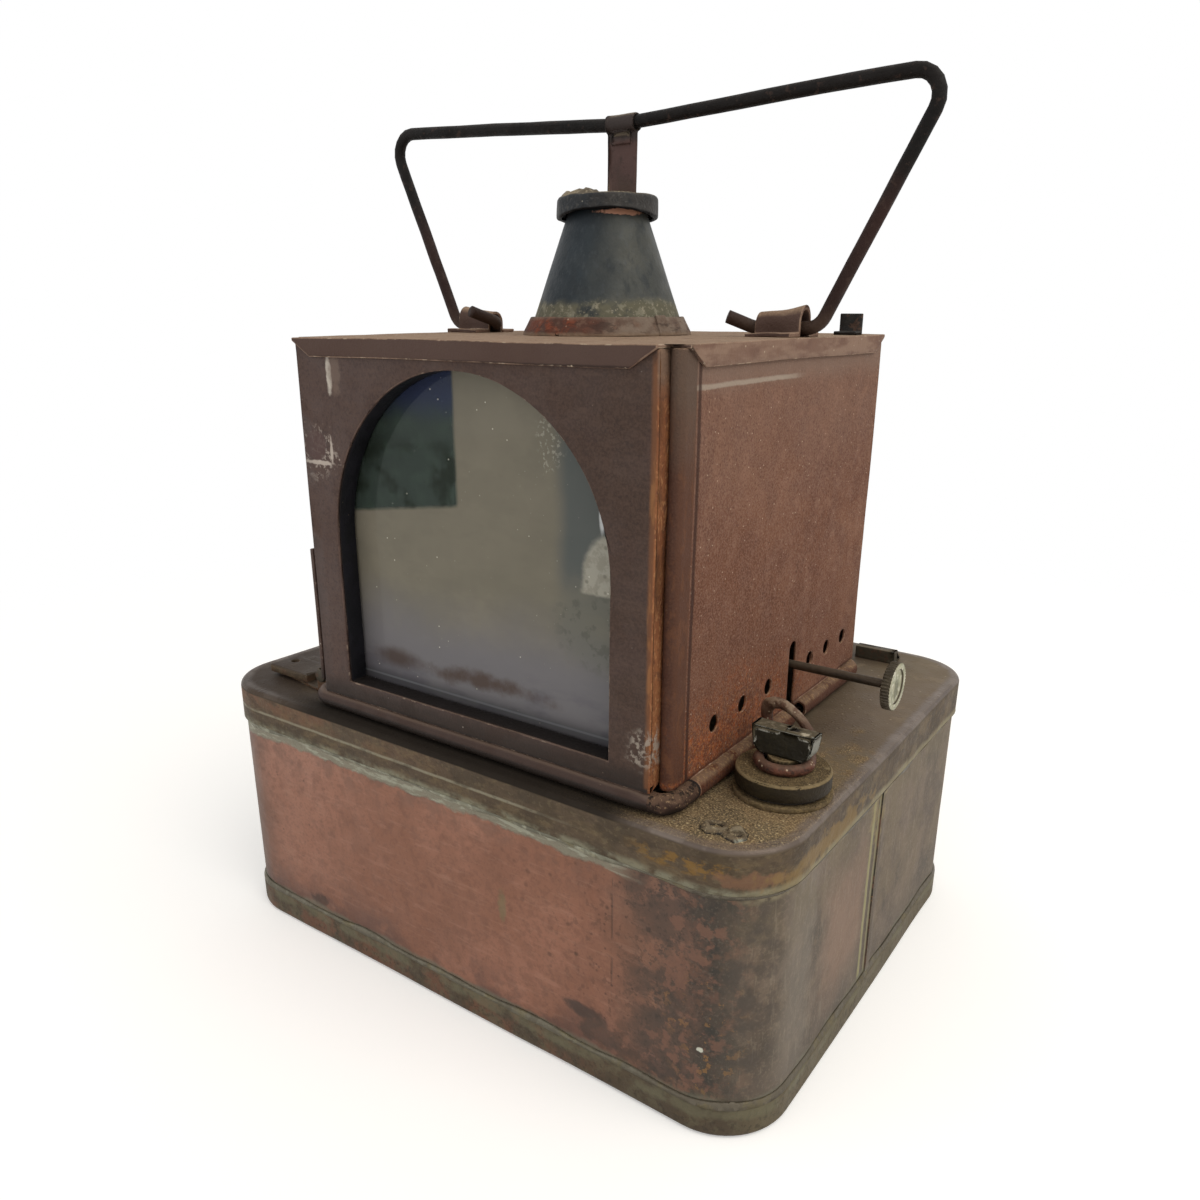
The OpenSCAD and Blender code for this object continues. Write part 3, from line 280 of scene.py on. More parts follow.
def patch(centre, reach, rag=0.5, rag_size=5, soft=0.35):
    """One ragged patch about a centre, with its reach in mm along each axis"""
    place = add("TexCoord", out="Object")
    moved = add("VectorMath", {0: place, 1: [v * mm for v in centre]}, operation="SUBTRACT")
    scaled = add("VectorMath", {0: moved, 1: [1 / (v * mm) for v in reach]}, operation="MULTIPLY")
    away = add("VectorMath", {0: scaled}, operation="LENGTH", out="Value")
    stray = add("TexNoise", {"Vector": place, "Scale": 1 / (rag_size * mm), "Detail": 4, "Roughness": 0.6})
    stray = add("Math", {0: stray, 1: 0.5}, operation="SUBTRACT")
    edge = add("Math", {0: stray, 1: 4 * rag, 2: away}, operation="MULTIPLY_ADD")
    return add("MapRange", {"Value": edge, "From Min": 1 + soft, "From Max": 1 - soft},
               interpolation_type="SMOOTHSTEP")


def specks(spacing, radius, share=0.4, seed=0, stretch=(1, 1, 1)):
    """Small spots about spacing mm apart and radius mm across, in a share of the places"""
    place = add("Mapping",
                {"Vector": add("TexCoord", out="Object"), "Scale": stretch, "Location": (seed, seed, seed)})
    away = add("TexVoronoi", {"Vector": place, "Scale": 1 / (spacing * mm)}, out="Distance")
    size = radius / spacing
    spot = add("MapRange", {"Value": away, "From Min": size, "From Max": 0.4 * size},
               interpolation_type="SMOOTHSTEP")
    lot = add("SeparateColor", {"Color": away.node.outputs["Color"]}, out="Red")
    picked = add("Math", {0: lot, 1: 1 - share}, operation="GREATER_THAN")
    return add("Math", {0: spot, 1: picked}, operation="MULTIPLY")


def facing(axis, low, high):
    """1 where the surface faces along an axis of the piece, 0 where it turns away"""
    side = add("SeparateXYZ", {"Vector": add("TexCoord", out="Normal")}, out=axis)
    return add("MapRange", {"Value": side, "From Min": low, "From Max": high},
               interpolation_type="SMOOTHSTEP")


def both(*masks):
    """Where all of these masks are"""
    met = masks[0]
    for mask in masks[1:]:
        met = add("Math", {0: met, 1: mask}, operation="MULTIPLY")
    return met


def coats(ground, layers):
    """Colours laid over one another: each layer is its masks, its colour and how much of it covers"""
    top = colour(ground) if isinstance(ground, str) else ground
    for *masks, tint, cover in layers:
        laid = add("Math", {0: both(*masks), 1: cover}, operation="MULTIPLY")
        tint = colour(tint) if isinstance(tint, str) else tint
        top = add("Mix", {"Factor": laid, "A": top, "B": tint}, data_type="RGBA")
    return top


def levels(ground, layers):
    """The same for a single value, such as roughness: each layer is its masks and its value"""
    top = ground
    for *masks, value in layers:
        top = add("Mix", {"Factor": both(*masks), "A": top, "B": value}, data_type="FLOAT")
    return top


def close_finish(tint, roughness, metal, raised, shine=0.5):
    """Ends a finish in its surface shader. What is raised or sunk is a list of masks with a height in mm"""
    height = 0.0
    for *masks, rise in raised:
        height = add("Math", {0: both(*masks), 1: rise, 2: height}, operation="MULTIPLY_ADD")
    normal = add("Bump", {"Height": height, "Distance": mm, "Strength": 1.0})
    surface = add("BsdfPrincipled", {"Base Color": tint, "Roughness": roughness, "Metallic": metal,
                                     "Normal": normal, "Specular IOR Level": shine})
    add("OutputMaterial", {"Surface": surface})


# Copper, rolled to sheet and bent by hand, then tarnished. Where it is rubbed it shows salmon, with the soft
# sheen and faint streaks of rolling; where it isn't, matt brown-black patina and grey-green solder cover it.
copper = new_finish("tarnished_copper_sheet")
front_y = -75.5
right_side = facing("X", 0.3, 0.9)
away_side = either(facing("X", -0.3, -0.8), facing("Y", 0.3, 0.8))
dark_side = either(right_side, away_side)
past_scratch = along("X", 50, 70, rag=7, rag_size=13)
eaten = mottle(9, 0.42, 0.56)
flecked = mottle(1.9, 0.48, 0.6, seed=0.3)
corner_patina = both(past_scratch, either(eaten, both(flecked, along("X", 44, 66, rag=6))))
solid_patina = along("X", 64, 84, rag=9, rag_size=15, seed=0.3)
scratch = both(patch((55, front_y, 44), (0.3, 9, 19), rag=0.12, rag_size=9, soft=0.3),
               mottle(4, 0.36, 0.52, seed=1.2))
run_solder = both(along("Z", 62.6, 63.6, rag=1.4, rag_size=9), along("X", 66, 48, rag=5, rag_size=14),
                  facing("Y", -0.2, -0.6))
side_solder = both(right_side, along("Z", 64.4, 65.8, rag=1.4, rag_size=12), mottle(5, 0.42, 0.56, seed=1.9))
low_solder = along("Z", 11.2, 9.6, rag=1.0, rag_size=8)
bright = coats("#835a47", [
    (mottle(42, 0.42, 0.62), "#936754", 0.75),
    # The paler field at the upper left is a painted highlight, the copper's sheen.
    (along("X", -30, -70, rag=6, rag_size=30), along("Z", 40, 58, rag=4, rag_size=30), "#9d7362", 0.6),
    (mottle(15, 0.48, 0.66, seed=0.2), "#765140", 0.35),
    (mottle(4, 0.5, 0.66, stretch=(1, 1, 0.5)), "#7a5443", 0.3),
    (mottle(0.9, 0.5, 0.64, seed=0.6), "#6b4a3b", 0.35),
    (mottle(1.1, 0.6, 0.68, stretch=(0.12, 1, 1), detail=2, seed=0.7), "#a5816d", 0.12),
    (mottle(3, 0.5, 0.62, seed=1.1), "#6c4a3c", 0.35),
    (along("X", 48, 66, rag=4, rag_size=12), "#6c5243", 0.6),
    (mottle(2.4, 0.56, 0.66, stretch=(0.25, 1, 1.6), seed=0.1), "#a27a68", 0.22),
    (along("X", -68, -88, rag=3, rag_size=20), "#54433a", 0.8),
    (along("Z", 24, 8, rag=5, rag_size=18), mottle(12, 0.4, 0.58, seed=0.5), "#54403a", 0.7),
    (along("Z", 52, 62, rag=3, rag_size=10), mottle(7, 0.44, 0.6, seed=1.3), "#6b5044", 0.5),
    (patch((48, front_y, 19.5), (6, 9, 2.2), rag=0.55, rag_size=6), "#3d332e", 0.85),
    (patch((52, front_y, 15), (6, 9, 3), rag=0.9, rag_size=4), "#4a3b33", 0.75),
    (along("X", 34, 62, rag=6, rag_size=12), along("Z", 30, 12, rag=5, rag_size=9),
     mottle(5, 0.46, 0.56, seed=2.9), "#463930", 0.7),
    (patch((-55, front_y, 12.7), (3.4, 9, 2), rag=0.6, rag_size=3), "#433229", 0.8),
    (patch((20.5, front_y, 40), (1.2, 9, 4.6), rag=0.5, rag_size=3), "#656a4a", 0.45),
    (along("X", 8, 50), specks(4.2, 1.0, share=0.5), "#493429", 0.8),
    (along("X", 20, 62, rag=4), mottle(2.6, 0.57, 0.64, seed=3.8), "#5b4236", 0.6),
    (along("X", 32, 60), specks(2.1, 0.5, share=0.5, seed=0.4), "#4e382f", 0.8),
    (specks(6, 0.5, share=0.35, seed=1.7), "#5a4034", 0.7)])
dark = coats("#423930", [
    (mottle(17, 0.46, 0.55, seed=0.8), "#2b2a25", 0.85),
    (mottle(11, 0.5, 0.58, seed=1.1), "#67493b", 0.75),
    (mottle(1.6, 0.5, 0.6, seed=1.5), "#58453a", 0.4),
    (mottle(3.4, 0.53, 0.6, seed=2.6), "#2a2924", 0.65),
    (mottle(0.8, 0.56, 0.64, detail=2, seed=1.9), "#6b6153", 0.35),
    (mottle(3.4, 0.585, 0.62, seed=2.1), along("Z", 50, 36, rag=6), "#8a6438", 0.75),
    (along("Z", 14, 9.5, rag=1.2, rag_size=8), "#57523f", 0.6)])
side = coats("#564a3e", [
    (mottle(26, 0.44, 0.6, seed=0.6), "#6f6052", 0.75),
    (mottle(14, 0.48, 0.62, seed=1.6), "#443c31", 0.6),
    (mottle(6, 0.5, 0.64, seed=2.9), "#756552", 0.45),
    (along("Y", -46, -34, rag=5, rag_size=18), along("Y", -8, -16, rag=3, rag_size=18),
     along("Z", 66, 46, rag=6, rag_size=18), along("Z", 10, 26, rag=5, rag_size=18), "#866a58", 0.55),
    (along("Y", -66, -58, rag=2), along("Y", -44, -50, rag=3), "#7d7468", 0.45),
    (along("Y", -4, 4, rag=2), mottle(18, 0.4, 0.6, seed=2.2), "#6d5e49", 0.6),
    (along("Z", 44, 66, rag=5, rag_size=14), mottle(9, 0.36, 0.58, seed=3.2), "#665a43", 0.6),
    (along("Z", 26, 10, rag=5, rag_size=18), "#564d43", 0.5),
    (mottle(0.9, 0.5, 0.64, seed=0.9), "#8b7c6b", 0.25),
    (mottle(1.2, 0.6, 0.68, stretch=(1, 1, 0.12), detail=2, seed=0.2), "#8f8371", 0.25),
    (patch((95, -9.6, 40), (9, 0.9, 60), rag=0.35, rag_size=5), "#969069", 0.8),
    (patch((95, -5.6, 40), (9, 0.8, 60), rag=0.35, rag_size=5), "#8b8568", 0.75),
    (patch((95, -7.7, 40), (9, 0.5, 60), rag=0.15, rag_size=5), "#4a4338", 0.6),
    (patch((95, -8, 60), (9, 5, 10), rag=0.5, rag_size=5), mottle(3, 0.45, 0.55), "#8c7c55", 0.5)])
white_row = both(patch((86, -75, 30), (2.2, 12, 18), rag=0.1),
                 specks(3.4, 0.5, share=0.35, seed=0.9, stretch=(1, 1, 0.7)))
tint = coats(bright, [
    (solid_patina, dark, 1),
    (corner_patina, along("X", 92, 60), "#3d342d", 0.85),
    (along("X", 60, 76), mottle(5, 0.57, 0.64, seed=0.8), "#644737", 0.6),
    (past_scratch, mottle(1.1, 0.55, 0.63, seed=0.5), "#332b25", 0.5),
    (along("X", 56, 70, rag=4), mottle(5.5, 0.52, 0.6, seed=3.3), "#7a5645", 0.6),
    (scratch, "#4a372c", 0.5),
    (dark_side, side, 1),
    (patch((92, -71, 38), (8, 8, 32), rag=0.1), mottle(6, 0.42, 0.58, seed=1.9), "#443c35", 0.7),
    (white_row, "#bdbaa8", 0.9),
    (patch((79.5, front_y, 24), (0.9, 9, 0.5), rag=0.8, rag_size=1.2), "#c9cabb", 0.9),
    (away_side, mottle(20, seed=2.6), "#6d5547", 0.6),
    (run_solder, "#807f6e", 0.85),
    (run_solder, mottle(2.2, 0.5, 0.6, stretch=(0.3, 1, 1.5), seed=0.7), "#a2a290", 0.7),
    (side_solder, "#8a8066", 0.7),
    (low_solder, "#6c695a", 0.75)])
dulled = either(both(corner_patina, past_scratch), dark_side, solid_patina)
close_finish(
    tint,
    roughness=levels(0.46, [(mottle(9, 0.4, 0.6), 0.54), (dulled, 0.66), (run_solder, 0.6)]),
    metal=levels(0.55, [(dulled, 0.12), (run_solder, 0.2)]),
    raised=[
        (lumps(14, detail=2), 0.10), (lumps(1.1), 0.02), (corner_patina, 0.03),
        (run_solder, lumps(2.4, seed=0.4), 0.3), (run_solder, 0.12), (scratch, -0.1),
        (patch((95, -9.3, 40), (9, 0.8, 60), rag=0.1), 0.15),
        (patch((95, -6.2, 40), (9, 0.8, 60), rag=0.1), 0.12)],
    shine=0.4)

wall = sliced(cad_copy("tank_wall"), pitch=5)
wall = piece_from(beaten(wall), "tank_side_strip", [copper])
eased(wall, width=0.12)
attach(wall, "tank")
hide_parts("tank_wall")


# Tank pans. The top and the bottom are pressed from copper, each with a rounded edge and a flange over the
# wall. Years of use have left oil, dust and sand on the top one.
def near_rim(start, end):
    """0 further in than start mm from the tank's outline, and 1 nearer to it than end"""
    corner_radius = 19
    corner_centre = (76 * mm, 56.5 * mm, 1)
    place = add("VectorMath", {0: add("TexCoord", out="Object")}, operation="ABSOLUTE")
    past_straight = add("VectorMath", {0: place, 1: corner_centre}, operation="SUBTRACT")
    past_straight = add("VectorMath", {0: past_straight, 1: (0, 0, 0)}, operation="MAXIMUM")
    reach = add("VectorMath", {0: past_straight}, operation="LENGTH", out="Value")
    stray = lumps(8, seed=5.5)
    reach = add("Math", {0: stray, 1: 0.7 * mm, 2: reach}, operation="MULTIPLY_ADD")
    return add("MapRange", {"Value": reach, "From Min": (corner_radius - start) * mm,
                            "From Max": (corner_radius - end) * mm}, interpolation_type="SMOOTHSTEP")


# Copper, pressed to pans and left to patina under oil and dust. The pressed rounding shines softly, and its
# pale purple-grey is a painted highlight; the flat is matt brown, and by the filler sand sticks in the oil.
# Its grains are about half a millimetre, coarser than real ones, so that they show.
patina = new_finish("oiled_copper_patina")
up = facing("Z", 0.8, 0.97)
rounding = both(near_rim(3.8, 1.6), facing("Z", 0.2, 0.6), along("Z", 40, 50))
flange = facing("Z", 0.25, 0.1)
top_flange = both(flange, along("Z", 40, 50))
right_part = along("X", 62, 84, rag=6, rag_size=22)
near_front = along("Y", -24, -44, rag=8, rag_size=20)
gritty = both(up, either(
    both(along("X", 20, 52, rag=10, rag_size=25), near_front),
    both(patch((84, -28, 78), (12, 22, 9), rag=0.6, rag_size=9), mottle(5, 0.4, 0.6))))
sand = mottle(0.5, 0.48, 0.6, detail=2)
upper_side = both(facing("Z", 0.04, 0.3), along("Z", 40, 50))
# Painted shade: the front flange and rounding are darkened in front of the case, where its shade falls.
shade_before_case = both(upper_side, along("Y", -66.5, -70, rag=1, rag_size=14), along("X", 66, 50, rag=3, rag_size=12),
             along("X", -70, -46, rag=4, rag_size=14))
shade_on_front_rounding = both(upper_side, along("Y", -58, -69, rag=2, rag_size=14), along("X", 70, 20, rag=4, rag_size=12))
tint = coats("#54483a", [
    (mottle(34, 0.42, 0.62), "#635646", 0.8),
    (mottle(11, 0.48, 0.64, seed=0.4), "#453a2f", 0.7),
    (right_part, up, "#75674f", 0.7),
    (up, patch((88, 24, 78), (13, 44, 9), rag=0.4, rag_size=24), "#6f6153", 0.6),
    (up, mottle(7, 0.54, 0.66, seed=1.7), "#7e6e58", 0.45),
    (up, patch((74, 22, 78), (9, 30, 9), rag=0.5, rag_size=16), "#5a4b3b", 0.5),
    (gritty, mottle(10, 0.36, 0.58, seed=0.9), "#836c4f", 0.75),
    (gritty, sand, "#b39b72", 0.75),
    (gritty, mottle(0.55, 0.54, 0.64, detail=2, seed=0.8), "#33291d", 0.65),
    (up, specks(2.6, 0.4, seed=0.6), "#a5977c", 0.5),
    (gritty, specks(1.5, 0.36, share=0.45, seed=0.2), "#c9b68c", 0.75),
    (up, along("X", -50, -80, rag=5, rag_size=20), "#3d322b", 0.75),
    # Painted highlight: the rounding's purple-grey and its pale mottle.
    (rounding, along("X", 40, 66, rag=5), "#6a5f5b", 0.5),
    (rounding, along("X", 64, 20, rag=5), "#5b4a3d", 0.5),
    (rounding, mottle(7, 0.48, 0.6), "#8a7e74", 0.35),
    # Painted shade in front of the case.
    (shade_on_front_rounding, "#372c22", 0.65),
    (flange, "#554738", 0.8),
    (flange, mottle(8, 0.46, 0.62, stretch=(0.8, 0.8, 1.4), seed=0.7), "#6b5b43", 0.55),
    (flange, mottle(3, 0.52, 0.64, stretch=(0.8, 0.8, 1.3), seed=2.4), "#463c2f", 0.5),
    (top_flange, along("Z", 69.2, 67.4, rag=0.7), mottle(9, 0.38, 0.55, seed=3.1), "#85836f", 0.75),
    (top_flange, along("Z", 71.2, 71.6, rag=0.15), along("Z", 72.4, 71.9, rag=0.15), along("X", 50, 20),
     "#9a9580", 0.6),
    (top_flange, along("X", 20, -60), mottle(12, 0.4, 0.6, seed=1.2), along("Z", 71, 74), "#73523f", 0.6),
    (top_flange, mottle(10, 0.48, 0.6, stretch=(0.7, 0.7, 1.5), seed=4.4), "#40362a", 0.6),
    (top_flange, along("X", 56, 68, rag=3), along("X", 90, 82), along("Z", 69.6, 71, rag=0.8),
     along("Z", 74.8, 73.4, rag=0.8), mottle(4, 0.47, 0.56, stretch=(0.7, 1, 1.3), seed=0.9),
     "#80602f", 0.75),
    # Painted shade in front of the case, nearly black.
    (shade_before_case, "#1b150f", 0.9),
    (top_flange, mottle(1.2, 0.55, 0.64, stretch=(0.6, 0.6, 1), detail=3, seed=0.6), "#7c6f55", 0.22),
    (top_flange, mottle(1.4, 0.55, 0.64, stretch=(0.4, 0.4, 1), detail=3, seed=1.6), "#382f25", 0.35),
    (top_flange, patch((90, -70, 70.6), (9, 9, 1.9), rag=0.8, rag_size=4), "#7a5a45", 0.7),
    (top_flange, patch((95, -48, 70.4), (6, 26, 2.6), rag=0.9, rag_size=4), "#826a42", 0.65),
    (facing("X", 0.5, 0.9), along("Z", 69.4, 67.4, rag=0.6), "#8c8164", 0.6),
    (along("Z", 12, 9), "#473e32", 0.6),
    (along("Z", 12, 6), mottle(9, 0.4, 0.58, seed=1.5), along("X", 62, 30), "#6c4c3b", 0.8),
    (along("Z", 12, 6), mottle(5, 0.48, 0.6, seed=2.8), "#605946", 0.55),
    (along("Z", 12, 6), mottle(1.4, 0.52, 0.62, seed=4.1), "#332d24", 0.45),
    (along("Z", 4.6, 6.2, rag=0.8), along("Z", 12, 9), mottle(12, 0.42, 0.56, seed=3.7), "#6e6a54", 0.55)])
close_finish(
    tint,
    roughness=levels(0.58, [(mottle(10, 0.4, 0.6), 0.66), (gritty, 0.9), (rounding, 0.42), (shade_before_case, 0.85)]),
    metal=levels(0.15, [(rounding, 0.45), (gritty, 0.0), (shade_before_case, 0.0)]),
    raised=[
        (lumps(18, detail=2), 0.12), (lumps(0.7, detail=2), 0.03),
        (gritty, sand, 0.14), (up, specks(1.5, 0.5, share=0.6, seed=0.8), 0.08),
        (flange, mottle(3, 0.4, 0.6), 0.07)],
    shine=0.2)

for name, title in (("tank_top", "tank_top_pan"), ("tank_bottom", "tank_bottom_pan")):
    pan = sliced(cad_copy(name), pitch=5)
    pan = piece_from(beaten(pan), title, [patina])
    eased(pan, width=0.14)
    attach(pan, "tank")
    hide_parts(name)


# Solder along the flanges. It was run in by hand with an iron, so its beads swell, thin out and creep over
# the wall, and close the gap between wall and pans.

# Lead-tin, melted on and left to freeze: grey and lumpy under a dull skin, greenish beside the copper.
lead = new_finish("dull_lead_tin_solder")
low_bead = along("Z", 30, 20)
tint = coats("#7c7a69", [
    (mottle(6), "#605d4f", 0.8),
    (mottle(2.4, 0.52, 0.64, seed=0.3), "#a09f8c", 0.6),
    (along("X", 46, 80, rag=6, rag_size=14), "#554c3f", 0.85),
    (low_bead, "#5d5547", 0.7),
    (mottle(9, 0.55, 0.65, seed=0.9), "#75693f", 0.35)])
close_finish(
    tint, roughness=levels(0.5, [(mottle(3, 0.4, 0.6), 0.62)]),
    metal=levels(0.5, [(mottle(4, 0.45, 0.55), 0.3)]),
    raised=[(lumps(2.2), 0.12), (lumps(0.8), 0.03)])

bead = sliced(cad_copy("tank_solder"), pitch=2)
tank_reach = Vector((95, 75.5)) * mm
half_height = 40 * mm
upper_foot = 66.4 * mm
lower_top = 8.8 * mm
lump_span = 7 * mm
lump_height = 0.22 * mm
creep_span = 16 * mm
creep_height = 1.5 * mm
other_draw = Vector((0.3, 0.7, 0.1))
for v in bead.verts:
    lump = max(0, noise.noise(v.co / lump_span) + 0.15)
    creep = max(0, noise.noise(v.co / creep_span + other_draw) + 0.25)
    if abs(v.co.y) / tank_reach.y > abs(v.co.x) / tank_reach.x:
        away = Vector((0, math.copysign(1, v.co.y), 0))
    else:
        away = Vector((math.copysign(1, v.co.x), 0, 0))
    v.co += away * lump * lump_height
    if half_height < v.co.z < upper_foot:
        v.co.z -= creep * creep_height
    elif lower_top < v.co.z <= half_height:
        v.co.z += creep * creep_height
bead = piece_from(beaten(bead), "tank_solder_beads", [lead])
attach(bead, "tank")
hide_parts("tank_solder")


# Filler. A turned brass neck is soldered into the tank; a milled cap with a leather washer screws into it,
# and its wing stands on a short stem. Grey dust lies on all upper faces, and the corners are rubbed bright.

# Brass, turned on a lathe to smooth rings and long left oily. Black-brown grease covers its wall with a faint
# shine, and matt sandy dust its top.
old_brass = new_finish("dusty_turned_brass")
up = facing("Z", 0.7, 0.95)
cap_wall = both(along("Z", 80.2, 80.6), facing("Z", 0.3, 0.1))
tint = coats("#6a5a43", [
    (mottle(3), "#51452f", 0.7),
    (mottle(0.7, 0.5, 0.62, detail=2, seed=0.5), "#8b7753", 0.5),
    # Painted shadow: a dark ring in the gap under the cap.
    (along("Z", 79.4, 79.9), along("Z", 81.4, 80.8), "#17120c", 0.95),
    (up, along("Z", 82, 84), "#564833", 0.85),
    (up, mottle(3, seed=0.3), "#453a29", 0.6),
    (up, mottle(0.45, 0.5, 0.62, detail=2, seed=0.5), "#8f7a56", 0.55),
    (cap_wall, "#211b12", 0.95),
    (cap_wall, mottle(4, stretch=(1, 1, 2)), "#302819", 0.7),
    (cap_wall, along("X", 82, 94), "#352e25", 0.6),
    (along("Z", 83, 84), facing("Z", 0.97, 0.85), facing("Z", 0.2, 0.5), "#857557", 0.6),
    (specks(2.4, 0.3), "#b8a683", 0.6)])
close_finish(
    tint, roughness=levels(0.8, [(cap_wall, 0.6)]), metal=levels(0.05, [(cap_wall, 0.15)]),
    raised=[(lumps(1.6), 0.05), (mottle(0.6, 0.35, 0.65, detail=2), 0.05)], shine=0.15)

for name, title, body, slot in (
        ("filler_neck", "filler_neck_turned", "tank", "old_brass"),
        ("filler_cap", "filler_cap_turned", "filler_cap", "dark_brass")):
    turned = piece_from(beaten(sliced(cad_copy(name), pitch=3), depth=0.32, ripple=0.03), title, [old_brass])
    eased(turned, width=0.3)
    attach(turned, body)
    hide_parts(name)

# Brass, cast in sand and hardly dressed: a pitted, nearly black skin, grey with wear on top, whose chipped
# corners show bright.
dark_brass = new_finish("cast_dark_brass")
up = facing("Z", 0.6, 0.9)
edge_rub = both(facing("Z", 0.85, 0.5), facing("Z", 0.05, 0.3))
worn_end = both(along("X", 87.6, 89, rag=0.3, rag_size=3), facing("X", 0.2, 0.6))
tint = coats("#1d190f", [
    (mottle(4, 0.42, 0.62), "#2a2518", 0.8),
    (up, "#5b5342", 0.85),
    (up, mottle(1.6, 0.5, 0.62), "#7d7360", 0.7),
    (edge_rub, mottle(1.8, 0.46, 0.56, seed=1.3), "#9a988e", 0.8),
    (worn_end, "#8d8c82", 0.8),
    (up, patch((83.6, -41.4, 94), (1.5, 1.0, 3), rag=0.5, rag_size=1.2), "#0d0b08", 0.95),
    (up, patch((86.6, -42.6, 94), (1.0, 0.7, 3), rag=0.7, rag_size=0.8), "#c2b9a2", 0.8),
    (specks(2.2, 0.26, share=0.3, seed=0.2), "#c3b99b", 0.85)])
close_finish(
    tint, roughness=levels(0.5, [(mottle(2, 0.4, 0.6), 0.6), (worn_end, 0.38)]),
    metal=levels(0.1, [(worn_end, 0.7)]),
    raised=[(lumps(1.4), 0.10), (specks(2.4, 0.5, share=0.3, seed=0.7), -0.16)],
    shine=0.18)
wing = sliced(cad_copy("filler_wing"), pitch=1.2)
wing_foot = 87.55 * mm
wing_tall = 6.8 * mm
filler_x = 81.4 * mm
filler_y = -41.4 * mm
narrowed = 0.15
thickened = 0.18
for v in wing.verts:
    low = max(0, min(1, 1 - (v.co.z - wing_foot) / wing_tall))
    v.co.x = filler_x + (v.co.x - filler_x) * (1 - narrowed * low ** 1.5)
    v.co.y = filler_y + (v.co.y - filler_y) * (1 + thickened * low)
wing = piece_from(beaten(wing, ripple=0.3, ripple_span=4), "filler_wing_cast", [dark_brass])
eased(wing, width=0.5)
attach(wing, "filler_cap")
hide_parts("filler_wing")

# Leather, punched from a hide and soaked with oil: black, finely wrinkled, with hardly any shine.
leather = new_finish("oiled_leather_washer")
close_finish(
    coats("#2b2621", [(mottle(2, 0.4, 0.6), "#3a332b", 0.8), (specks(1.6, 0.3), "#6e634f", 0.7)]),
    roughness=levels(0.7, [(mottle(1, 0.4, 0.6), 0.85)]), metal=0.0,
    raised=[(lumps(0.7), 0.06)], shine=0.3)
washer = piece_from(beaten(sliced(cad_copy("filler_washer"), pitch=3)), "filler_washer_leather", [leather])
eased(washer, width=0.2)
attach(washer, "filler_seal")
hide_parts("filler_washer")

# Keeper, coiled round the stem, and the eye that it slides in. Copper wire, drawn soft and bent by hand:
# smooth but lumpy where it was gripped, red-brown with a low sheen, and grey with dust on its arch.
soft_copper = new_finish("soft_copper_wire")
up = facing("Z", 0.35, 0.9)
tint = coats("#42281d", [
    (mottle(3), "#6b402f", 0.7),
    (mottle(1.6, 0.54, 0.66, seed=0.4), "#2a1d16", 0.75),
    (up, "#6f5646", 0.55),
    (along("Z", 89.5, 93, rag=1), "#5e4737", 0.7),
    (along("Z", 92, 95, rag=1), mottle(2.4, 0.4, 0.56, seed=0.7), "#94806a", 0.75),
    (specks(1.8, 0.3, seed=0.5), "#c7b69a", 0.7)])
close_finish(
    tint, roughness=levels(0.55, [(up, 0.75), (mottle(2, 0.4, 0.6), 0.65)]), metal=levels(0.3, [(up, 0.05)]),
    raised=[(lumps(1.5), 0.16), (lumps(0.6), 0.06)], shine=0.35)
eye_x = 71.8 * mm
eye_y = -28.5 * mm
true_within = 3.4
fades_over = 3
true_below = 86.8
fades_above = 2.2
swell = 0.25 * mm
lean = 3.2 * mm
arch_foot = 88
arch_tall = 7.5
for name, title, body in (
        ("keeper_wire", "keeper_wire_bent", "filler_seal"), ("keeper_eye", "keeper_eye_strip", "tank")):
    bent = sliced(cad_copy(name), pitch=1.1)
    straight = [v.co.copy() for v in bent.verts]
    if name == "keeper_wire":
        bent.normal_update()
        for v in bent.verts:
            v.co += v.normal * swell
            v.co.x -= lean * max(0, min(1, (v.co.z / mm - arch_foot) / arch_tall)) ** 1.3
    beaten(bent, ripple=0.3, ripple_span=2.7)
    for v, place in zip(bent.verts, straight):
        from_eye = Vector((place.x - eye_x, place.y - eye_y)).length / mm
        past_eye = (from_eye - true_within) / fades_over
        above_eye = (place.z / mm - true_below) / fades_above
        v.co = place.lerp(v.co, max(0, min(1, max(past_eye, above_eye))))
    bent = piece_from(bent, title, [soft_copper])
    if name == "keeper_eye":
        eased(bent, width=0.15)
    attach(bent, body)
    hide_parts(name)


# Solder scars in front of the filler, where something was once fixed: two frozen splashes, each with a pit.
scar = sliced(cad_copy("solder_scar"), pitch=0.6)
lip_foot = 78.5 * mm
lip_rise = 0.7
tank_skin = 77.7 * mm
for v in scar.verts:
    v.co.z += max(0, v.co.z - lip_foot) * lip_rise
    for span, height in ((1.7, 0.5), (3.6, 1.1)):
        v.co += noise.noise_vector(v.co / (span * mm)) * height * mm
    v.co.z = max(v.co.z, tank_skin)

# Solder that froze as it splashed: its sunk middle is painted dark as shade in the pits, its lumpy lip is
# paler, and a painted highlight sits on the lip's lower right.
scar_metal = new_finish("frozen_solder_splash")
tint = coats("#1c1610", [
    (along("Z", 78.1, 78.6, rag=0.3, rag_size=1.5), "#5d503e", 0.9),
    (mottle(0.9, 0.45, 0.6), along("Z", 78.1, 78.5), "#7d6c52", 0.6),
    (along("Z", 78.8, 79.2, rag=0.5, rag_size=1.5), "#857963", 0.7),
    # Painted highlight: a pale grey patch on the lower right of the lip.
    (patch((85.4, -69.6, 78.3), (1.8, 1.4, 1.4), rag=0.6, rag_size=1.4), "#9c9e90", 0.8),
    (mottle(0.6, 0.56, 0.64, seed=0.3), "#b8a683", 0.5)])
close_finish(
    tint, roughness=0.62, metal=0.15, raised=[(lumps(0.8), 0.12)], shine=0.35)
scar = piece_from(beaten(scar), "solder_scars", [scar_metal])
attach(scar, "tank")
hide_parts("solder_scar")


# Small iron fittings: the catch lug behind the case, the hinge pins, the rivets and the roof's tab. The hinge
# brackets with them are of the tank's own copper.

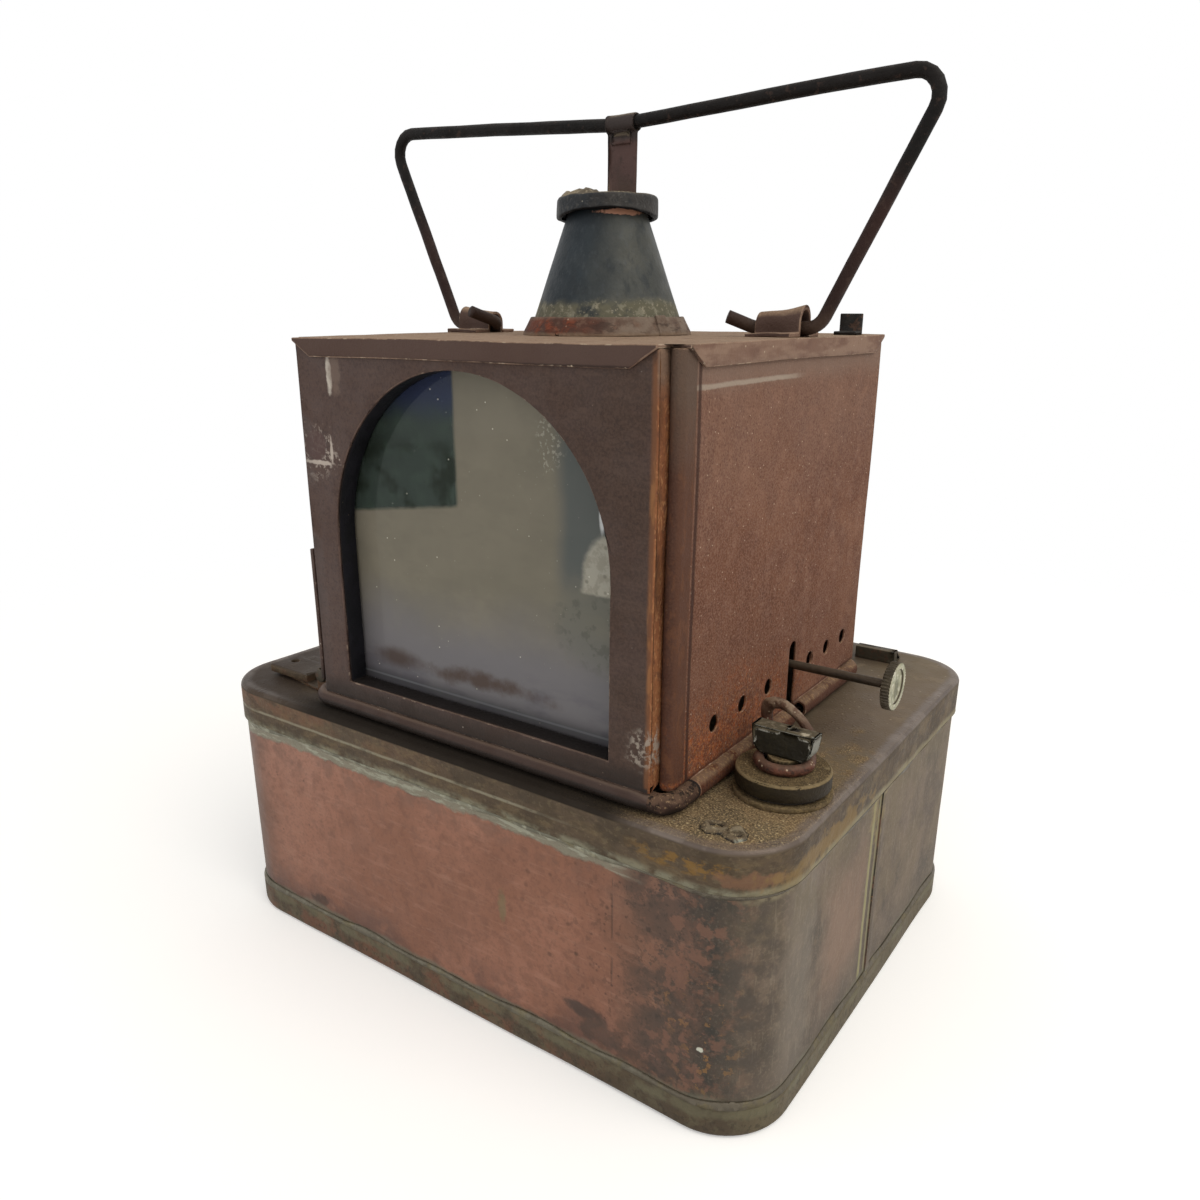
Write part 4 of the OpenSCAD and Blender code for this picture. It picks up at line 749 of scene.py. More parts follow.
# Iron, cut from rod and bar and black with oxide: dull and nearly black, with brown dust on what faces up.
black_iron = new_finish("black_oxidised_iron")
up = facing("Z", 0.6, 0.95)
tint = coats("#1f1d1b", [
    (mottle(6), "#2e2a26", 0.8),
    (along("Z", 140, 120), "#4c4538", 0.85),
    (mottle(2, 0.54, 0.66, seed=0.4), "#5d4334", 0.6),
    (up, along("Z", 140, 120), "#6b6150", 0.7),
    (specks(2.6, 0.3), "#a39a87", 0.6)])
close_finish(
    tint, roughness=levels(0.6, [(up, 0.75)]), metal=0.3,
    raised=[(lumps(1.2), 0.06)], shine=0.35)
for name, title, body in (
        ("catch_lug", "catch_lug_bar", "tank"), ("hinge_pin_front", "front_hinge_pin", "tank"),
        ("hinge_pin_rear", "rear_hinge_pin", "tank"), ("strap_rivets", "hinge_strap_rivets", "lantern"),
        ("strap_rivet", "cap_rivet", "lantern"), ("roof_tab", "roof_rear_tab", "lantern")):
    fitting = piece_from(beaten(sliced(cad_copy(name), pitch=2.5)), title, [black_iron])
    eased(fitting, width=0.25)
    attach(fitting, body)
    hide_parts(name)

for name, title in (("hinge_bracket_front", "front_hinge_bracket"),
                    ("hinge_bracket_rear", "rear_hinge_bracket")):
    bracket = piece_from(beaten(sliced(cad_copy(name), pitch=4)), title, [patina])
    eased(bracket, width=0.35)
    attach(bracket, "tank")
    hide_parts(name)


# Burner. A spun brass shell with air holes screws into a collar on the tank. The flat wick's tube, the four
# springy prongs and the bushes of the winder belong to it, and so do the star wheels on the spindle.

# Brass, spun and drawn thin: smooth, with soft mirrorings. The flame has browned it, and soot dulls its top.
heat_brass = new_finish("heat_browned_brass")
top_soot = along("Z", 98, 110, rag=2)
tint = coats("#7a6136", [
    (mottle(9, 0.42, 0.62), "#91784a", 0.7),
    (mottle(3, 0.52, 0.66, seed=0.5), "#574426", 0.7),
    (facing("Z", 0.5, 0.95), "#6b604c", 0.6),
    (top_soot, "#3a3026", 0.65),
    (specks(3, 0.35), "#a89878", 0.6)])
close_finish(
    tint, roughness=levels(0.36, [(mottle(4, 0.4, 0.6), 0.5), (top_soot, 0.65)]), metal=0.85,
    raised=[(lumps(3), 0.04)])
for name in ("burner_collar", "burner_shell", "wick_tube", "gallery_prongs", "spindle_bushes", "wick_wheels"):
    part = piece_from(beaten(cad_copy(name), ripple=0), name + "_brass", [heat_brass])
    eased(part, width=0.12)
    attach(part, "winder" if name == "wick_wheels" else "tank")
    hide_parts(name)


# Winder. An iron spindle runs out through the case's slot to a milled knob, whose plated face is worn and
# spotted with pale green.

# Iron rod, drawn through a die and kept oily: smooth and dark, with a long soft light along it.
spindle_iron = new_finish("oily_spindle_iron")
up = facing("Z", 0.3, 0.95)
tint = coats("#352d24", [
    (mottle(5, stretch=(0.4, 1, 1)), "#4c4033", 0.8),
    (up, "#64584a", 0.4),
    (specks(2.4, 0.28), "#a6987c", 0.6)])
close_finish(
    tint, roughness=levels(0.45, [(up, 0.6)]), metal=0.6,
    raised=[(lumps(1.5), 0.05)])
spindle = piece_from(beaten(sliced(cad_copy("winder_spindle"), pitch=3, axes=(0,)), depth=0.0, ripple=0.04),
                     "winder_spindle_rod", [spindle_iron])
eased(spindle, width=0.15, angle=50)
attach(spindle, "winder")
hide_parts("winder_spindle")

# Brass, turned, milled round its edge and plated. Fingers have worn the plate to a pale matt face with
# greenish spots, and the milling is dark with dirt.
worn_plate = new_finish("worn_plated_knob")
outer_face = facing("X", 0.6, 0.95)
tint = coats("#4b4336", [
    (mottle(2), "#5d5444", 0.7),
    (outer_face, "#aca98f", 0.9),
    (outer_face, mottle(3, 0.45, 0.58), "#8f9179", 0.75),
    (outer_face, mottle(1.6, 0.5, 0.6, seed=0.4), "#cfccba", 0.7),
    (outer_face, patch((94, -2.6, 94.4), (9, 1.9, 2.2), rag=0.6, rag_size=2), "#5f5f4a", 0.8),
    (outer_face, mottle(1.2, 0.58, 0.66, seed=0.9), "#5f5a44", 0.6)])
close_finish(
    tint, roughness=levels(0.5, [(outer_face, 0.68)]), metal=levels(0.5, [(outer_face, 0.1)]),
    raised=[(lumps(1.3), 0.08)])
knob = piece_from(cad_copy("winder_knob"), "winder_knob_milled", [worn_plate])
eased(knob, width=0.12, angle=30)
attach(knob, "winder")
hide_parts("winder_knob")


# Wick and chimney glass. The wick is a flat woven cotton tape, charred at its top. The small blown glass
# stands in the prongs, milky with old smoke.

# Cotton, woven to a flat tape: matt and ribbed across, yellow with oil below and charred black at its top.
# The ribs are about 1.8 mm apart, coarser than real threads, so that they show.
cotton = new_finish("woven_cotton_tape")
half_rib = 0.9 * mm
charred = along("Z", 108, 111.5, rag=0.6, rag_size=2)
weave = add("TexWave", {"Vector": add("TexCoord", out="Object"), "Scale": 1 / (half_rib * 6.28),
                        "Distortion": 0.6}, bands_direction="Z")
tint = coats("#b5a684", [
    (mottle(5), "#9a8a68", 0.7), (weave, "#8d7f61", 0.45),
    (along("Z", 70, 100, rag=6), "#7d6c4c", 0.7), (charred, "#17130f", 0.95)])
close_finish(tint, roughness=0.95, metal=0.0, raised=[(weave, 0.12), (lumps(0.8), 0.08)], shine=0.1)
tape = piece_from(beaten(sliced(cad_copy("wick"), pitch=2, axes=(0, 2)), depth=0, ripple=0.05),
                  "wick_cotton_tape", [cotton])
eased(tape, width=0.4)
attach(tape, "wick")
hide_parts("wick")

# Glass, blown thin and a little uneven. Smoke has left it milky, so that it looks pale rather than clear.
smoked = new_finish("smoked_blown_glass")
clear = add("BsdfGlass", {"Color": colour("#f2f1e8"), "Roughness": 0.05, "IOR": 1.5})
film = add("BsdfDiffuse", {"Color": coats("#f1eee0", [(mottle(4, 0.52, 0.64), "#a9a592", 0.6)])})
milky = levels(0.6, [(along("Z", 109, 118, rag=2), 0.92), (along("Z", 129, 133, rag=1), 0.8)])
glass_mix = add("MixShader", {"Fac": milky, 1: clear, 2: film})
add("OutputMaterial", {"Surface": glass_mix})
chimney = piece_from(cad_copy("chimney_glass"), "chimney_blown_glass", [smoked])
eased(chimney, width=0.35)
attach(chimney, "chimney")
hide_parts("chimney_glass")


# Front tray. Sheet iron with an arched window, its sides folded back inside the side walls. The channels that
# hold the glass stand behind it, and a thin liner runs round the arch.
def maroon_paint(name, worn):
    """Oil paint, brushed on iron and matt with age: a maroon-brown skin with a fine grain, scratched pale at
    the left and rusted to orange on the folded sides. Its worn kind is rubbed lighter, for edges"""
    made = new_finish(name)
    face_y = -70.8
    chip = patch((-42.8, face_y, 153.8), (4.2, 4, 3.9), rag=0.1, soft=0.1)
    side = either(facing("X", 0.4, 0.9), facing("X", -0.4, -0.9))
    outer_side = both(side, along("X", 61, 61.8))
    grain = mottle(0.55, 0.4, 0.62, detail=2)
    edge = both(along("X", 60.2, 61.2, rag=0.15, rag_size=7), along("Z", 180, 176), along("Z", 84, 85))
    tint = coats("#3f2d26", [
        (mottle(40, 0.42, 0.62), "#46342d", 0.7),
        (along("X", 10, -52, rag=8, rag_size=30), "#4d3c37", 0.7),
        (along("X", 16, 50, rag=6, rag_size=20), mottle(18, 0.3, 0.5, seed=0.3), "#38271d", 0.75),
        (mottle(7, 0.52, 0.66, seed=0.7), "#382722", 0.5),
        (mottle(1.4, 0.46, 0.66, stretch=(0.2, 1, 1), seed=1.4), "#523e34", 0.3),
        (grain, "#594439", 0.3),
        (mottle(0.8, 0.55, 0.64, detail=2, seed=2.2), "#2c1e19", 0.4),
        (along("Z", 98, 84, rag=3), mottle(6, 0.4, 0.6), "#35251d", 0.6),
        # Painted shade: the tray's foot darkens above the wired edge.
        (along("Z", 90.5, 85.5, rag=0.6), "#20160f", 0.75),
        (along("Z", 84.6, 83.6, rag=0.2), "#1c130e", 0.8),
        # Painted highlight along the top of the wired edge, and painted shade under it.
        (along("Z", 83.8, 83, rag=0.2), along("Z", 80.6, 81.6), "#432e25", 0.6),
        (along("Z", 81.4, 79.4, rag=0.2), along("Z", 76, 78), "#20160f", 0.5),
        (edge, "#6e4529", 0.8),
        (edge, mottle(3, 0.48, 0.6, stretch=(1, 1, 0.25), seed=0.9), "#8f6038", 0.65),
        (outer_side, "#7d4c2e", 0.9),
        (outer_side, mottle(5, 0.45, 0.6, stretch=(1, 1, 0.6)), "#8f5c38", 0.7),
        (outer_side, mottle(2, 0.52, 0.62, stretch=(1, 1, 0.8), seed=0.5), "#5a3828", 0.6),
        (outer_side, mottle(0.8, 0.54, 0.64, stretch=(1, 1, 0.5), detail=2, seed=0.8), "#b08055", 0.5),
        # Painted shade: a dark line in the groove between the tray's side and the tube.
        (outer_side, along("Y", -66.4, -65.4), "#2c1a12", 0.8),
        (outer_side, along("Z", 166, 178, rag=3), "#6e5c4e", 0.8),
        (facing("Z", 0.5, 0.9), "#6b584b", 0.7),
        (specks(6.5, 0.36, share=0.35), "#b3a79b", 0.75),
        (mottle(18, 0.5, 0.6, seed=1.4), specks(3, 0.24, seed=0.4), "#9a8674", 0.6),
        (patch((-35.6, face_y, 172.6), (0.9, 4, 4.6), rag=0.35, rag_size=2), "#c0b7ab", 0.9),
        (patch((-33.4, face_y, 172.4), (2.2, 4, 4.8), rag=0.5, rag_size=3), "#6f5d52", 0.6),
        (patch((-41.5, face_y, 152.2), (7.4, 4, 6.2), rag=0.3, rag_size=3), mottle(1.4, 0.52, 0.6),
         "#a0948a", 0.8),
        (chip, "#4a342f", 0.9),
        (patch((-41.2, face_y, 149.4), (5.4, 4, 0.5), rag=0.5, rag_size=2), "#b9ada2", 0.85),
        (patch((-36.8, face_y, 152.6), (0.5, 4, 3.6), rag=0.5, rag_size=2), "#b9ada2", 0.85),
        (patch((60.6, -70, 93.6), (4.4, 7, 4.6), rag=0.3, rag_size=3), mottle(1.6, 0.46, 0.58, seed=0.6),
         "#9a8f83", 0.75)])
    if worn:
        tint = coats(tint, [
            (mottle(6, 0.46, 0.6, seed=0.2), "#69544a", 0.6),
            (mottle(2.5, 0.56, 0.64, seed=0.8), "#8f7d6c", 0.6)])
    close_finish(
        tint, roughness=levels(0.6, [(mottle(9, 0.4, 0.6), 0.7), (outer_side, 0.78)]), metal=0.0,
        raised=[
            (grain, 0.025), (lumps(5, detail=3), 0.05), (outer_side, mottle(1.2, 0.4, 0.6), 0.08),
            (chip, -0.12)],
        shine=0.32)
    return made


maroon = maroon_paint("matt_maroon_paint", worn=False)
maroon_rubbed = maroon_paint("matt_maroon_paint_rubbed", worn=True)
tray = sliced(cad_copy("front_panel"), pitch=4.5)
low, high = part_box("front_panel")
near = 0.02 * mm
fold_radius = 0.9 * mm
on_fold = {v for v in tray.verts if v.co.y < low.y + near and not low.x + near <= v.co.x <= high.x - near}
folds = [edge for edge in tray.edges if on_fold.issuperset(edge.verts)]
bmesh.ops.bevel(
    tray, geom=folds, offset=fold_radius, offset_type="OFFSET", segments=3, profile=0.5, affect="EDGES",
    clamp_overlap=False, material=-1)
tray = piece_from(beaten(tray), "front_tray_sheet", [maroon, maroon_rubbed])
eased(tray, width=0.26, worn=1)
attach(tray, "lantern")
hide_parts("front_panel")

for name in ("glass_channel_left", "glass_channel_right", "glass_channel_bottom"):
    channel = piece_from(beaten(sliced(cad_copy(name), pitch=8)), name + "_folded", [maroon])
    eased(channel, width=0.15)
    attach(channel, "lantern")
    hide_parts(name)

# Liner of the window. Iron strip, rolled thin, bent to the arch and black with oil and smoke: it takes
# nearly all light, apart from its brown front rim.
liner_black = new_finish("blackened_window_liner")
front_rim = along("Y", -69.4, -70.4)
close_finish(
    coats("#0e0e12", [
        (mottle(6), "#15141a", 0.8), (specks(3, 0.25, share=0.3), "#5a5249", 0.6),
        (facing("Z", 0.5, 0.95), "#1c1612", 0.7), (front_rim, "#33251f", 0.7)]),
    roughness=levels(0.6, [(mottle(3, 0.4, 0.6), 0.75)]), metal=0.0,
    raised=[(lumps(1.5), 0.05)], shine=0.2)
liner = piece_from(beaten(sliced(cad_copy("window_liner"), pitch=4)), "window_liner_strip", [liner_black])
eased(liner, width=0.2)
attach(liner, "lantern")
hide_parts("window_liner")

# Window pane. Glass, drawn to a flat sheet, so its face is smooth and mirrors sharply. A film of dust greys
# it, thicker at the foot, with specks and smears. Painted onto the film are a shadow along its foot, the dark
# and pale fields of the room's reflection, and the lit chimney and burner behind it with a highlight above
# the chimney. The light that passes it into the case is only tinted.
pane = new_finish("dusty_drawn_glass")
pane_y = -63
clear = add("BsdfGlass", {"Color": colour("#dfe5e0"), "Roughness": 0.0, "IOR": 1.5})
let_through = add("BsdfTransparent", {"Color": colour("#c3c6c0")})
shading = add("LightPath", out="Is Shadow Ray")
across = add("SeparateXYZ", {"Vector": add("TexCoord", out="Object")}, out="X").node
slant = add("Math", {0: across.outputs["X"], 1: -0.134, 2: across.outputs["Z"]}, operation="MULTIPLY_ADD")
slant = add("MapRange", {"Value": slant, "From Min": 140.4 * mm, "From Max": 142 * mm},
            interpolation_type="SMOOTHSTEP")
# Painted reflection: the dark field of the room reflected at the upper left.
dark_reflection_field = both(along("X", 0.9, -0.7, rag=0.05, rag_size=14), slant)
right_strip = both(along("X", 29, 35, rag=1, rag_size=20), along("Z", 118, 134, rag=3, rag_size=12))
# Painted light: the pale shape of the lit chimney behind the glass, with its spots.
lit_chimney_image = both(patch((45.4, pane_y, 127), (7.2, 9, 12.5), rag=0.1, rag_size=5, soft=0.12),
             along("Z", 124.8, 125.7, rag=0.3, rag_size=4))
lit_chimney_spots = both(lit_chimney_image, specks(2.4, 0.7, share=0.5, seed=0.3))
# Painted highlight: a pale streak above the chimney's shape.
chimney_highlight = patch((43.9, pane_y, 144.2), (0.8, 9, 4.4), rag=0.12, rag_size=3, soft=0.3)
# Painted light: the burner's dome behind the glass, painted onto the film.
lit_burner_image = patch((42, pane_y, 116), (11, 9, 9), rag=0.2, rag_size=9, soft=0.3)
smear_left = patch((-24.5, pane_y, 96.4), (8, 9, 2.4), rag=0.4, rag_size=9, soft=0.7)
smear_right = patch((7, pane_y, 95.8), (16, 9, 2.0), rag=0.8, rag_size=8, soft=0.7)
scuff = both(patch((29, pane_y, 158.5), (3.4, 9, 6.5), rag=0.5, rag_size=4), mottle(1.3, 0.53, 0.6))
fine_dust = specks(3.0, 0.26, share=0.5, seed=1.3)
film_tint = coats("#837d6f", [
    (mottle(26, 0.42, 0.62), "#8d8677", 0.5),
    (mottle(8, 0.46, 0.62, stretch=(0.4, 1, 1), seed=1.7), "#7a7568", 0.35),
    (along("Z", 122, 102, rag=4, rag_size=26), "#7b7980", 0.8),
    (along("Z", 104, 92, rag=3, rag_size=20), mottle(14, 0.44, 0.58, stretch=(0.5, 1, 1.4)), "#66636b", 0.6),
    (right_strip, "#596062", 0.8),
    # Painted light: the burner's dome behind the glass.
    (lit_burner_image, "#6e6f69", 0.5),
    (lit_burner_image, mottle(3, 0.5, 0.62, seed=0.6), "#5b5c55", 0.5),
    # Painted reflection at the upper left.
    (dark_reflection_field, "#37433f", 0.95),
    (dark_reflection_field, along("Z", 160, 168, rag=1, rag_size=9), "#353c58", 0.9),
    (dark_reflection_field, mottle(6, 0.48, 0.62, seed=2.8), along("Z", 168, 160), "#47554c", 0.5),
    (dark_reflection_field, mottle(9, 0.46, 0.6, seed=0.8), along("Z", 160, 152), "#262c24", 0.8),
    (smear_left, "#4c3c34", 0.8),
    (smear_right, "#503e34", 0.8),
    # Painted shadow of the frame's lower edge along the foot of the glass.
    (along("Z", 92.5, 89.6, rag=0.4), "#4a494b", 0.5),
    (along("Z", 90.5, 90.2), along("Z", 89.7, 89.9), "#8f9396", 0.5),
    # Painted light: the lit chimney behind the glass.
    (lit_chimney_image, "#aeaa9d", 0.85),
    (lit_chimney_image, mottle(3, 0.46, 0.6, seed=2.4), "#8b877b", 0.6),
    (lit_chimney_spots, "#726e63", 0.6),
    (chimney_highlight, "#cfd2d3", 0.85),
    (fine_dust, "#d8d4c6", 0.8),
    (specks(1.7, 0.17, seed=2.3), mottle(16, 0.45, 0.6, seed=3.1), "#b9b5a8", 0.6),
    (scuff, "#aaa79a", 0.6)])
film = add("BsdfDiffuse", {"Color": film_tint})
amount = levels(0.74, [
    (mottle(34, 0.4, 0.62, seed=0.6), 0.8), (along("Z", 112, 92, rag=4, rag_size=24), 0.78),
    (right_strip, 0.76), (dark_reflection_field, 0.75), (lit_burner_image, 0.8), (lit_chimney_image, 0.9), (chimney_highlight, 0.95), (smear_left, 0.85),
    (smear_right, 0.85), (fine_dust, 0.95), (specks(9, 0.3, seed=0.7), 0.95), (scuff, 0.85)])
pane_mix = add("MixShader", {"Fac": amount, 1: clear, 2: film})
pane_mix = add("MixShader", {"Fac": shading, 1: pane_mix, 2: let_through})
add("OutputMaterial", {"Surface": pane_mix})
glass = piece_from(beaten(sliced(cad_copy("window_glass"), pitch=9), ripple=0), "window_pane", [pane])
eased(glass, width=0.3)
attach(glass, "lantern")
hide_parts("window_glass")


# Wired bottom edges and side walls. Each wall is one sheet: its front is rolled into an upright tube, its
# foot over a wire. They are dusty above and orange with rust below.
def rusty_wall(name, worn):
    """Iron sheet whose brushed red-brown paint has gone to fine rust: dry, gritty as sandpaper, no shine.
    Its grit is drawn at half a millimetre, so that it shows. Its worn kind is rubbed pale, for edges"""
    made = new_finish(name)
    grit = mottle(0.5, detail=2)
    low_rust = both(along("Z", 110, 86, rag=5, rag_size=14), along("Y", 30, -50, rag=8, rag_size=20))
    up = facing("Z", 0.35, 0.85)
    tube = both(along("Y", -61.4, -62.2), along("Z", 84, 86))
    tint = coats("#694230", [
        (mottle(34, 0.42, 0.62), "#79523e", 0.8),
        (mottle(9, 0.46, 0.64, seed=0.4), "#5c382b", 0.6),
        (along("Z", 128, 176, rag=8, rag_size=30), "#75594c", 0.6),
        (mottle(5, 0.5, 0.64, seed=0.9), "#84604e", 0.4),
        (along("Y", 20, -50, rag=6, rag_size=24), along("Z", 150, 100, rag=8, rag_size=24), "#5a3626", 0.5),
        (low_rust, mottle(9, 0.36, 0.56), "#6c371e", 0.85),
        (low_rust, mottle(2, 0.47, 0.6, seed=0.2), "#98502a", 0.7),
        (low_rust, mottle(0.8, 0.54, 0.62, detail=2, seed=1.8), "#c07a3e", 0.5),
        (grit, "#94735f", 0.38),
        (mottle(0.8, 0.56, 0.66, detail=2, seed=0.5), "#4a2c22", 0.5),
        (specks(2.2, 0.24), "#c9b19a", 0.75),
        (specks(1.4, 0.22, share=0.3, seed=0.5), "#b39076", 0.5),
        (along("Z", 169, 175, rag=1.2, rag_size=12), "#7d675a", 0.7),
        (along("Z", 171.6, 172.1, rag=0.3, rag_size=14), along("Z", 173.2, 172.6, rag=0.3, rag_size=14),
         along("Y", -5, -22, rag=4), "#a6998a", 0.7),
        (tube, "#432a20", 0.85),
        (tube, along("X", 64.6, 65.4), "#5d3d2d", 0.5),
        (tube, mottle(3, 0.5, 0.6, stretch=(1, 1, 0.5), seed=1.2), "#67422c", 0.5),
        (tube, along("Z", 150, 174, rag=3), "#5b4b40", 0.8),
        # Painted shade: a dark line in the groove between the tube and the wall.
        (along("Y", -59.4, -60.2, rag=0.2), along("Y", -61.6, -60.8), "#331c13", 0.85),
        (along("Z", 84.6, 83.7, rag=0.2), "#3b2015", 0.7),
        # Painted shade under the wired edge.
        (along("Z", 79.8, 79.0), "#1f130d", 0.85),
        (up, mottle(6, 0.3, 0.55), "#7c6450", 0.75),
        (up, mottle(0.8, 0.5, 0.62, detail=2, seed=1.1), "#a8895f", 0.4)])
    if worn:
        tint = coats(tint, [
            (mottle(7, 0.4, 0.6, seed=0.2), "#93715d", 0.6),
            (mottle(2.5, 0.54, 0.64, seed=0.8), "#b19a84", 0.6)])
    close_finish(
        tint, roughness=levels(0.8, [(mottle(9, 0.4, 0.6), 0.88)]), metal=0.0,
        raised=[
            (grit, 0.07), (mottle(1.5, 0.35, 0.65), 0.05), (lumps(7, detail=3), 0.05),
            (specks(1.8, 0.5), 0.05)],
        shine=0.25)
    return made


rust = rusty_wall("rusted_red_paint", worn=False)
rust_rubbed = rusty_wall("rusted_red_paint_rubbed", worn=True)
for name, title in (
        ("right_wall", "right_wall_sheet"), ("left_wall", "left_wall_sheet"),
        ("back_wall", "back_wall_sheet"), ("rear_bead", "rear_wired_edge")):
    sheet_piece = piece_from(beaten(sliced(cad_copy(name), pitch=4.5)), title, [rust, rust_rubbed])
    eased(sheet_piece, width=0.22, worn=1)
    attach(sheet_piece, "lantern")
    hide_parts(name)

# The front wired edge is maroon as the tray, and crumpled where it was hammered round the right corner.
edge_wire = sliced(cad_copy("front_bead"), pitch=2)
corner = Vector((66.5, -69, 81)) * mm
crumple_reach = 13
crumple_fade = 8
crumple_span = 3.4 * mm
crumple_depth = 0.6
pitted_from = 61.5 * mm
for v in edge_wire.verts:
    to_corner = (v.co - corner).length / mm
    crumple = max(0, min(1, (crumple_reach - to_corner) / crumple_fade))
    v.co += noise.noise_vector(v.co / crumple_span) * crumple_depth * crumple * mm

# Painted iron, hammered until the paint broke, then rusted: dull brown with black pits under tan dust.
pitted = new_finish("pitted_corner_of_the_edge")
butt_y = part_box("front_bead")[1].y / mm
tint = coats("#392820", [
    (mottle(4), "#4a362c", 0.8),
    (facing("Z", 0.2, 0.8), "#68503e", 0.6),
    (mottle(1.5, 0.55, 0.61, seed=0.4), facing("Z", 0.0, 0.5), "#150e0a", 0.85),
    (mottle(0.6, 0.58, 0.66, detail=2, seed=0.8), "#a08463", 0.5),
    (facing("Z", 0.0, -0.5), "#1a110c", 0.8),
    (along("Y", butt_y - 1.2, butt_y - 0.5), "#0f0a07", 0.95)])
close_finish(
    tint, roughness=0.78, metal=0.0,
    raised=[(mottle(1.5, 0.55, 0.61, seed=0.4), -0.25), (lumps(0.8), 0.08)], shine=0.25)
edge_wire = piece_from(beaten(edge_wire, ripple=0.1, ripple_span=7), "front_wired_edge",
                       [maroon, maroon_rubbed, pitted])
for face in edge_wire.data.polygons:
    if face.center.x > pitted_from:
        face.material_index = 2
eased(edge_wire, width=0.2)
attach(edge_wire, "lantern")
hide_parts("front_bead")


# Roof. One sheet with four lips folded down over the walls, cut back slantwise at each corner. Road dust
# has settled on it thickly, tan over brown.
def dusty_roof(name, worn):
    """Iron sheet with brushed brown paint under dust that settled in the wet: matt, tan and finely blotched
    above, bare brown on the lips. Its worn kind is rubbed pale, for edges"""
    made = new_finish(name)
    up = facing("Z", 0.45, 0.95)
    front_lip = facing("Y", -0.5, -0.9)
    tint = coats("#6a4f42", [
        (mottle(12), "#775c4d", 0.7),
        (front_lip, "#46352f", 0.85),
        (front_lip, mottle(20, 0.45, 0.6, stretch=(0.6, 1, 1)), "#513f38", 0.6),
        (front_lip, along("Z", 176.9, 176.4, rag=0.15, rag_size=6), "#271b16", 0.8),
        (facing("X", 0.5, 0.9), mottle(6, 0.4, 0.6, stretch=(1, 0.4, 1.6)), "#8a7160", 0.75),
        (up, "#8b7460", 0.9),
        (up, mottle(8, 0.46, 0.62, seed=0.5), "#755c4a", 0.6),
        (up, mottle(0.7, 0.46, 0.62, detail=2), "#a48d74", 0.5),
        (up, mottle(4, 0.6, 0.68, seed=0.9), "#5c4030", 0.7),
        (specks(3.2, 0.3), "#c3b199", 0.7),
        (specks(7, 0.3, seed=0.3, stretch=(0.5, 0.5, 1)), "#b7a994", 0.7)])
    if worn:
        tint = coats(tint, [
            (mottle(9, 0.4, 0.6, seed=0.2), "#957b68", 0.7),
            (mottle(3, 0.54, 0.64, seed=0.8), "#b7a48e", 0.6)])
    close_finish(
        tint, roughness=levels(0.75, [(up, 0.9)]), metal=0.0,
        raised=[
            (mottle(0.6, 0.35, 0.65, detail=2), 0.05), (lumps(5), 0.10),
            (specks(1.6, 0.4), 0.05)],
        shine=0.25)
    return made


roof_dust = dusty_roof("dusty_brown_paint", worn=False)
roof_rubbed = dusty_roof("dusty_brown_paint_rubbed", worn=True)
lid = piece_from(beaten(sliced(cad_copy("roof"), pitch=4.5), ripple=0.09), "roof_sheet",
                 [roof_dust, roof_rubbed])
eased(lid, width=0.24, worn=1)
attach(lid, "lantern")
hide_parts("roof")


# Flue. A copper cone, black from smoke, stands in a flared collar that is lapped at the right and soldered
# round its upper edge. The turned cap with its rolled rim sits on three legs over a pierced baffle.

# Copper sheet, rolled to a cone and smoked blue-black: satin on the left, browner and duller on the right,
# with solder smeared round its foot and one bare pink patch below the cap.
soot = new_finish("smoked_copper_cone")
right_half = along("X", 6, 21, rag=4, rag_size=14)
smear = both(along("Z", 190.6, 188.2, rag=1.1, rag_size=8), facing("Z", 0.9, 0.6))
bare = patch((14.9, -14, 211.2), (5.6, 6.2, 0.7), rag=0.35, rag_size=1.6, soft=0.2)
tint = coats("#1f262b", [
    (mottle(14, 0.42, 0.62, stretch=(1, 1, 0.4)), "#262e33", 0.8),
    (right_half, "#494a45", 0.8),
    (along("X", 10, 22, rag=3), mottle(10, 0.4, 0.6), "#4b4a42", 0.6),
    (mottle(5, 0.5, 0.64, stretch=(1, 1, 0.4), seed=0.5), "#24292c", 0.6),
    (mottle(1.2, 0.52, 0.66, stretch=(1, 1, 0.5), seed=0.2), "#43474a", 0.25),
    (facing("Z", 0.8, 0.97), "#5b5349", 0.75),
    (specks(3.6, 0.22), "#8f9088", 0.6),
    (along("X", 2, -14), mottle(9, 0.5, 0.6, seed=0.7), "#3d352e", 0.5),
    # Painted shade: the cone's top is nearly black inside the cap.
    (along("Z", 211.7, 212.1), "#0f1112", 0.9),
    (smear, mottle(5, 0.3, 0.5, seed=1.4), "#66624f", 0.8),
    (smear, mottle(2.5, 0.52, 0.62), "#8a8674", 0.6),
    (smear, mottle(0.9, 0.56, 0.64, seed=0.8), "#a49c88", 0.5),
    (bare, "#e3a88c", 0.95)])
close_finish(
    tint, roughness=levels(0.5, [(mottle(6, 0.4, 0.6), 0.6), (smear, 0.8), (bare, 0.3)]),
    metal=levels(0.3, [(smear, 0.0), (bare, 0.35)]),
    raised=[(lumps(1.2), 0.04), (lumps(6), 0.06), (smear, 0.15)], shine=0.3)
for name, title in (
        ("flue_cone", "flue_cone_sheet"), ("cap_legs", "flue_cap_legs"),
        ("draught_baffle", "draught_baffle_plate")):
    smoked_piece = piece_from(beaten(sliced(cad_copy(name), pitch=3.5), ripple=0.1), title, [soot])
    eased(smoked_piece, width=0.2)
    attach(smoked_piece, "lantern")
    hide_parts(name)

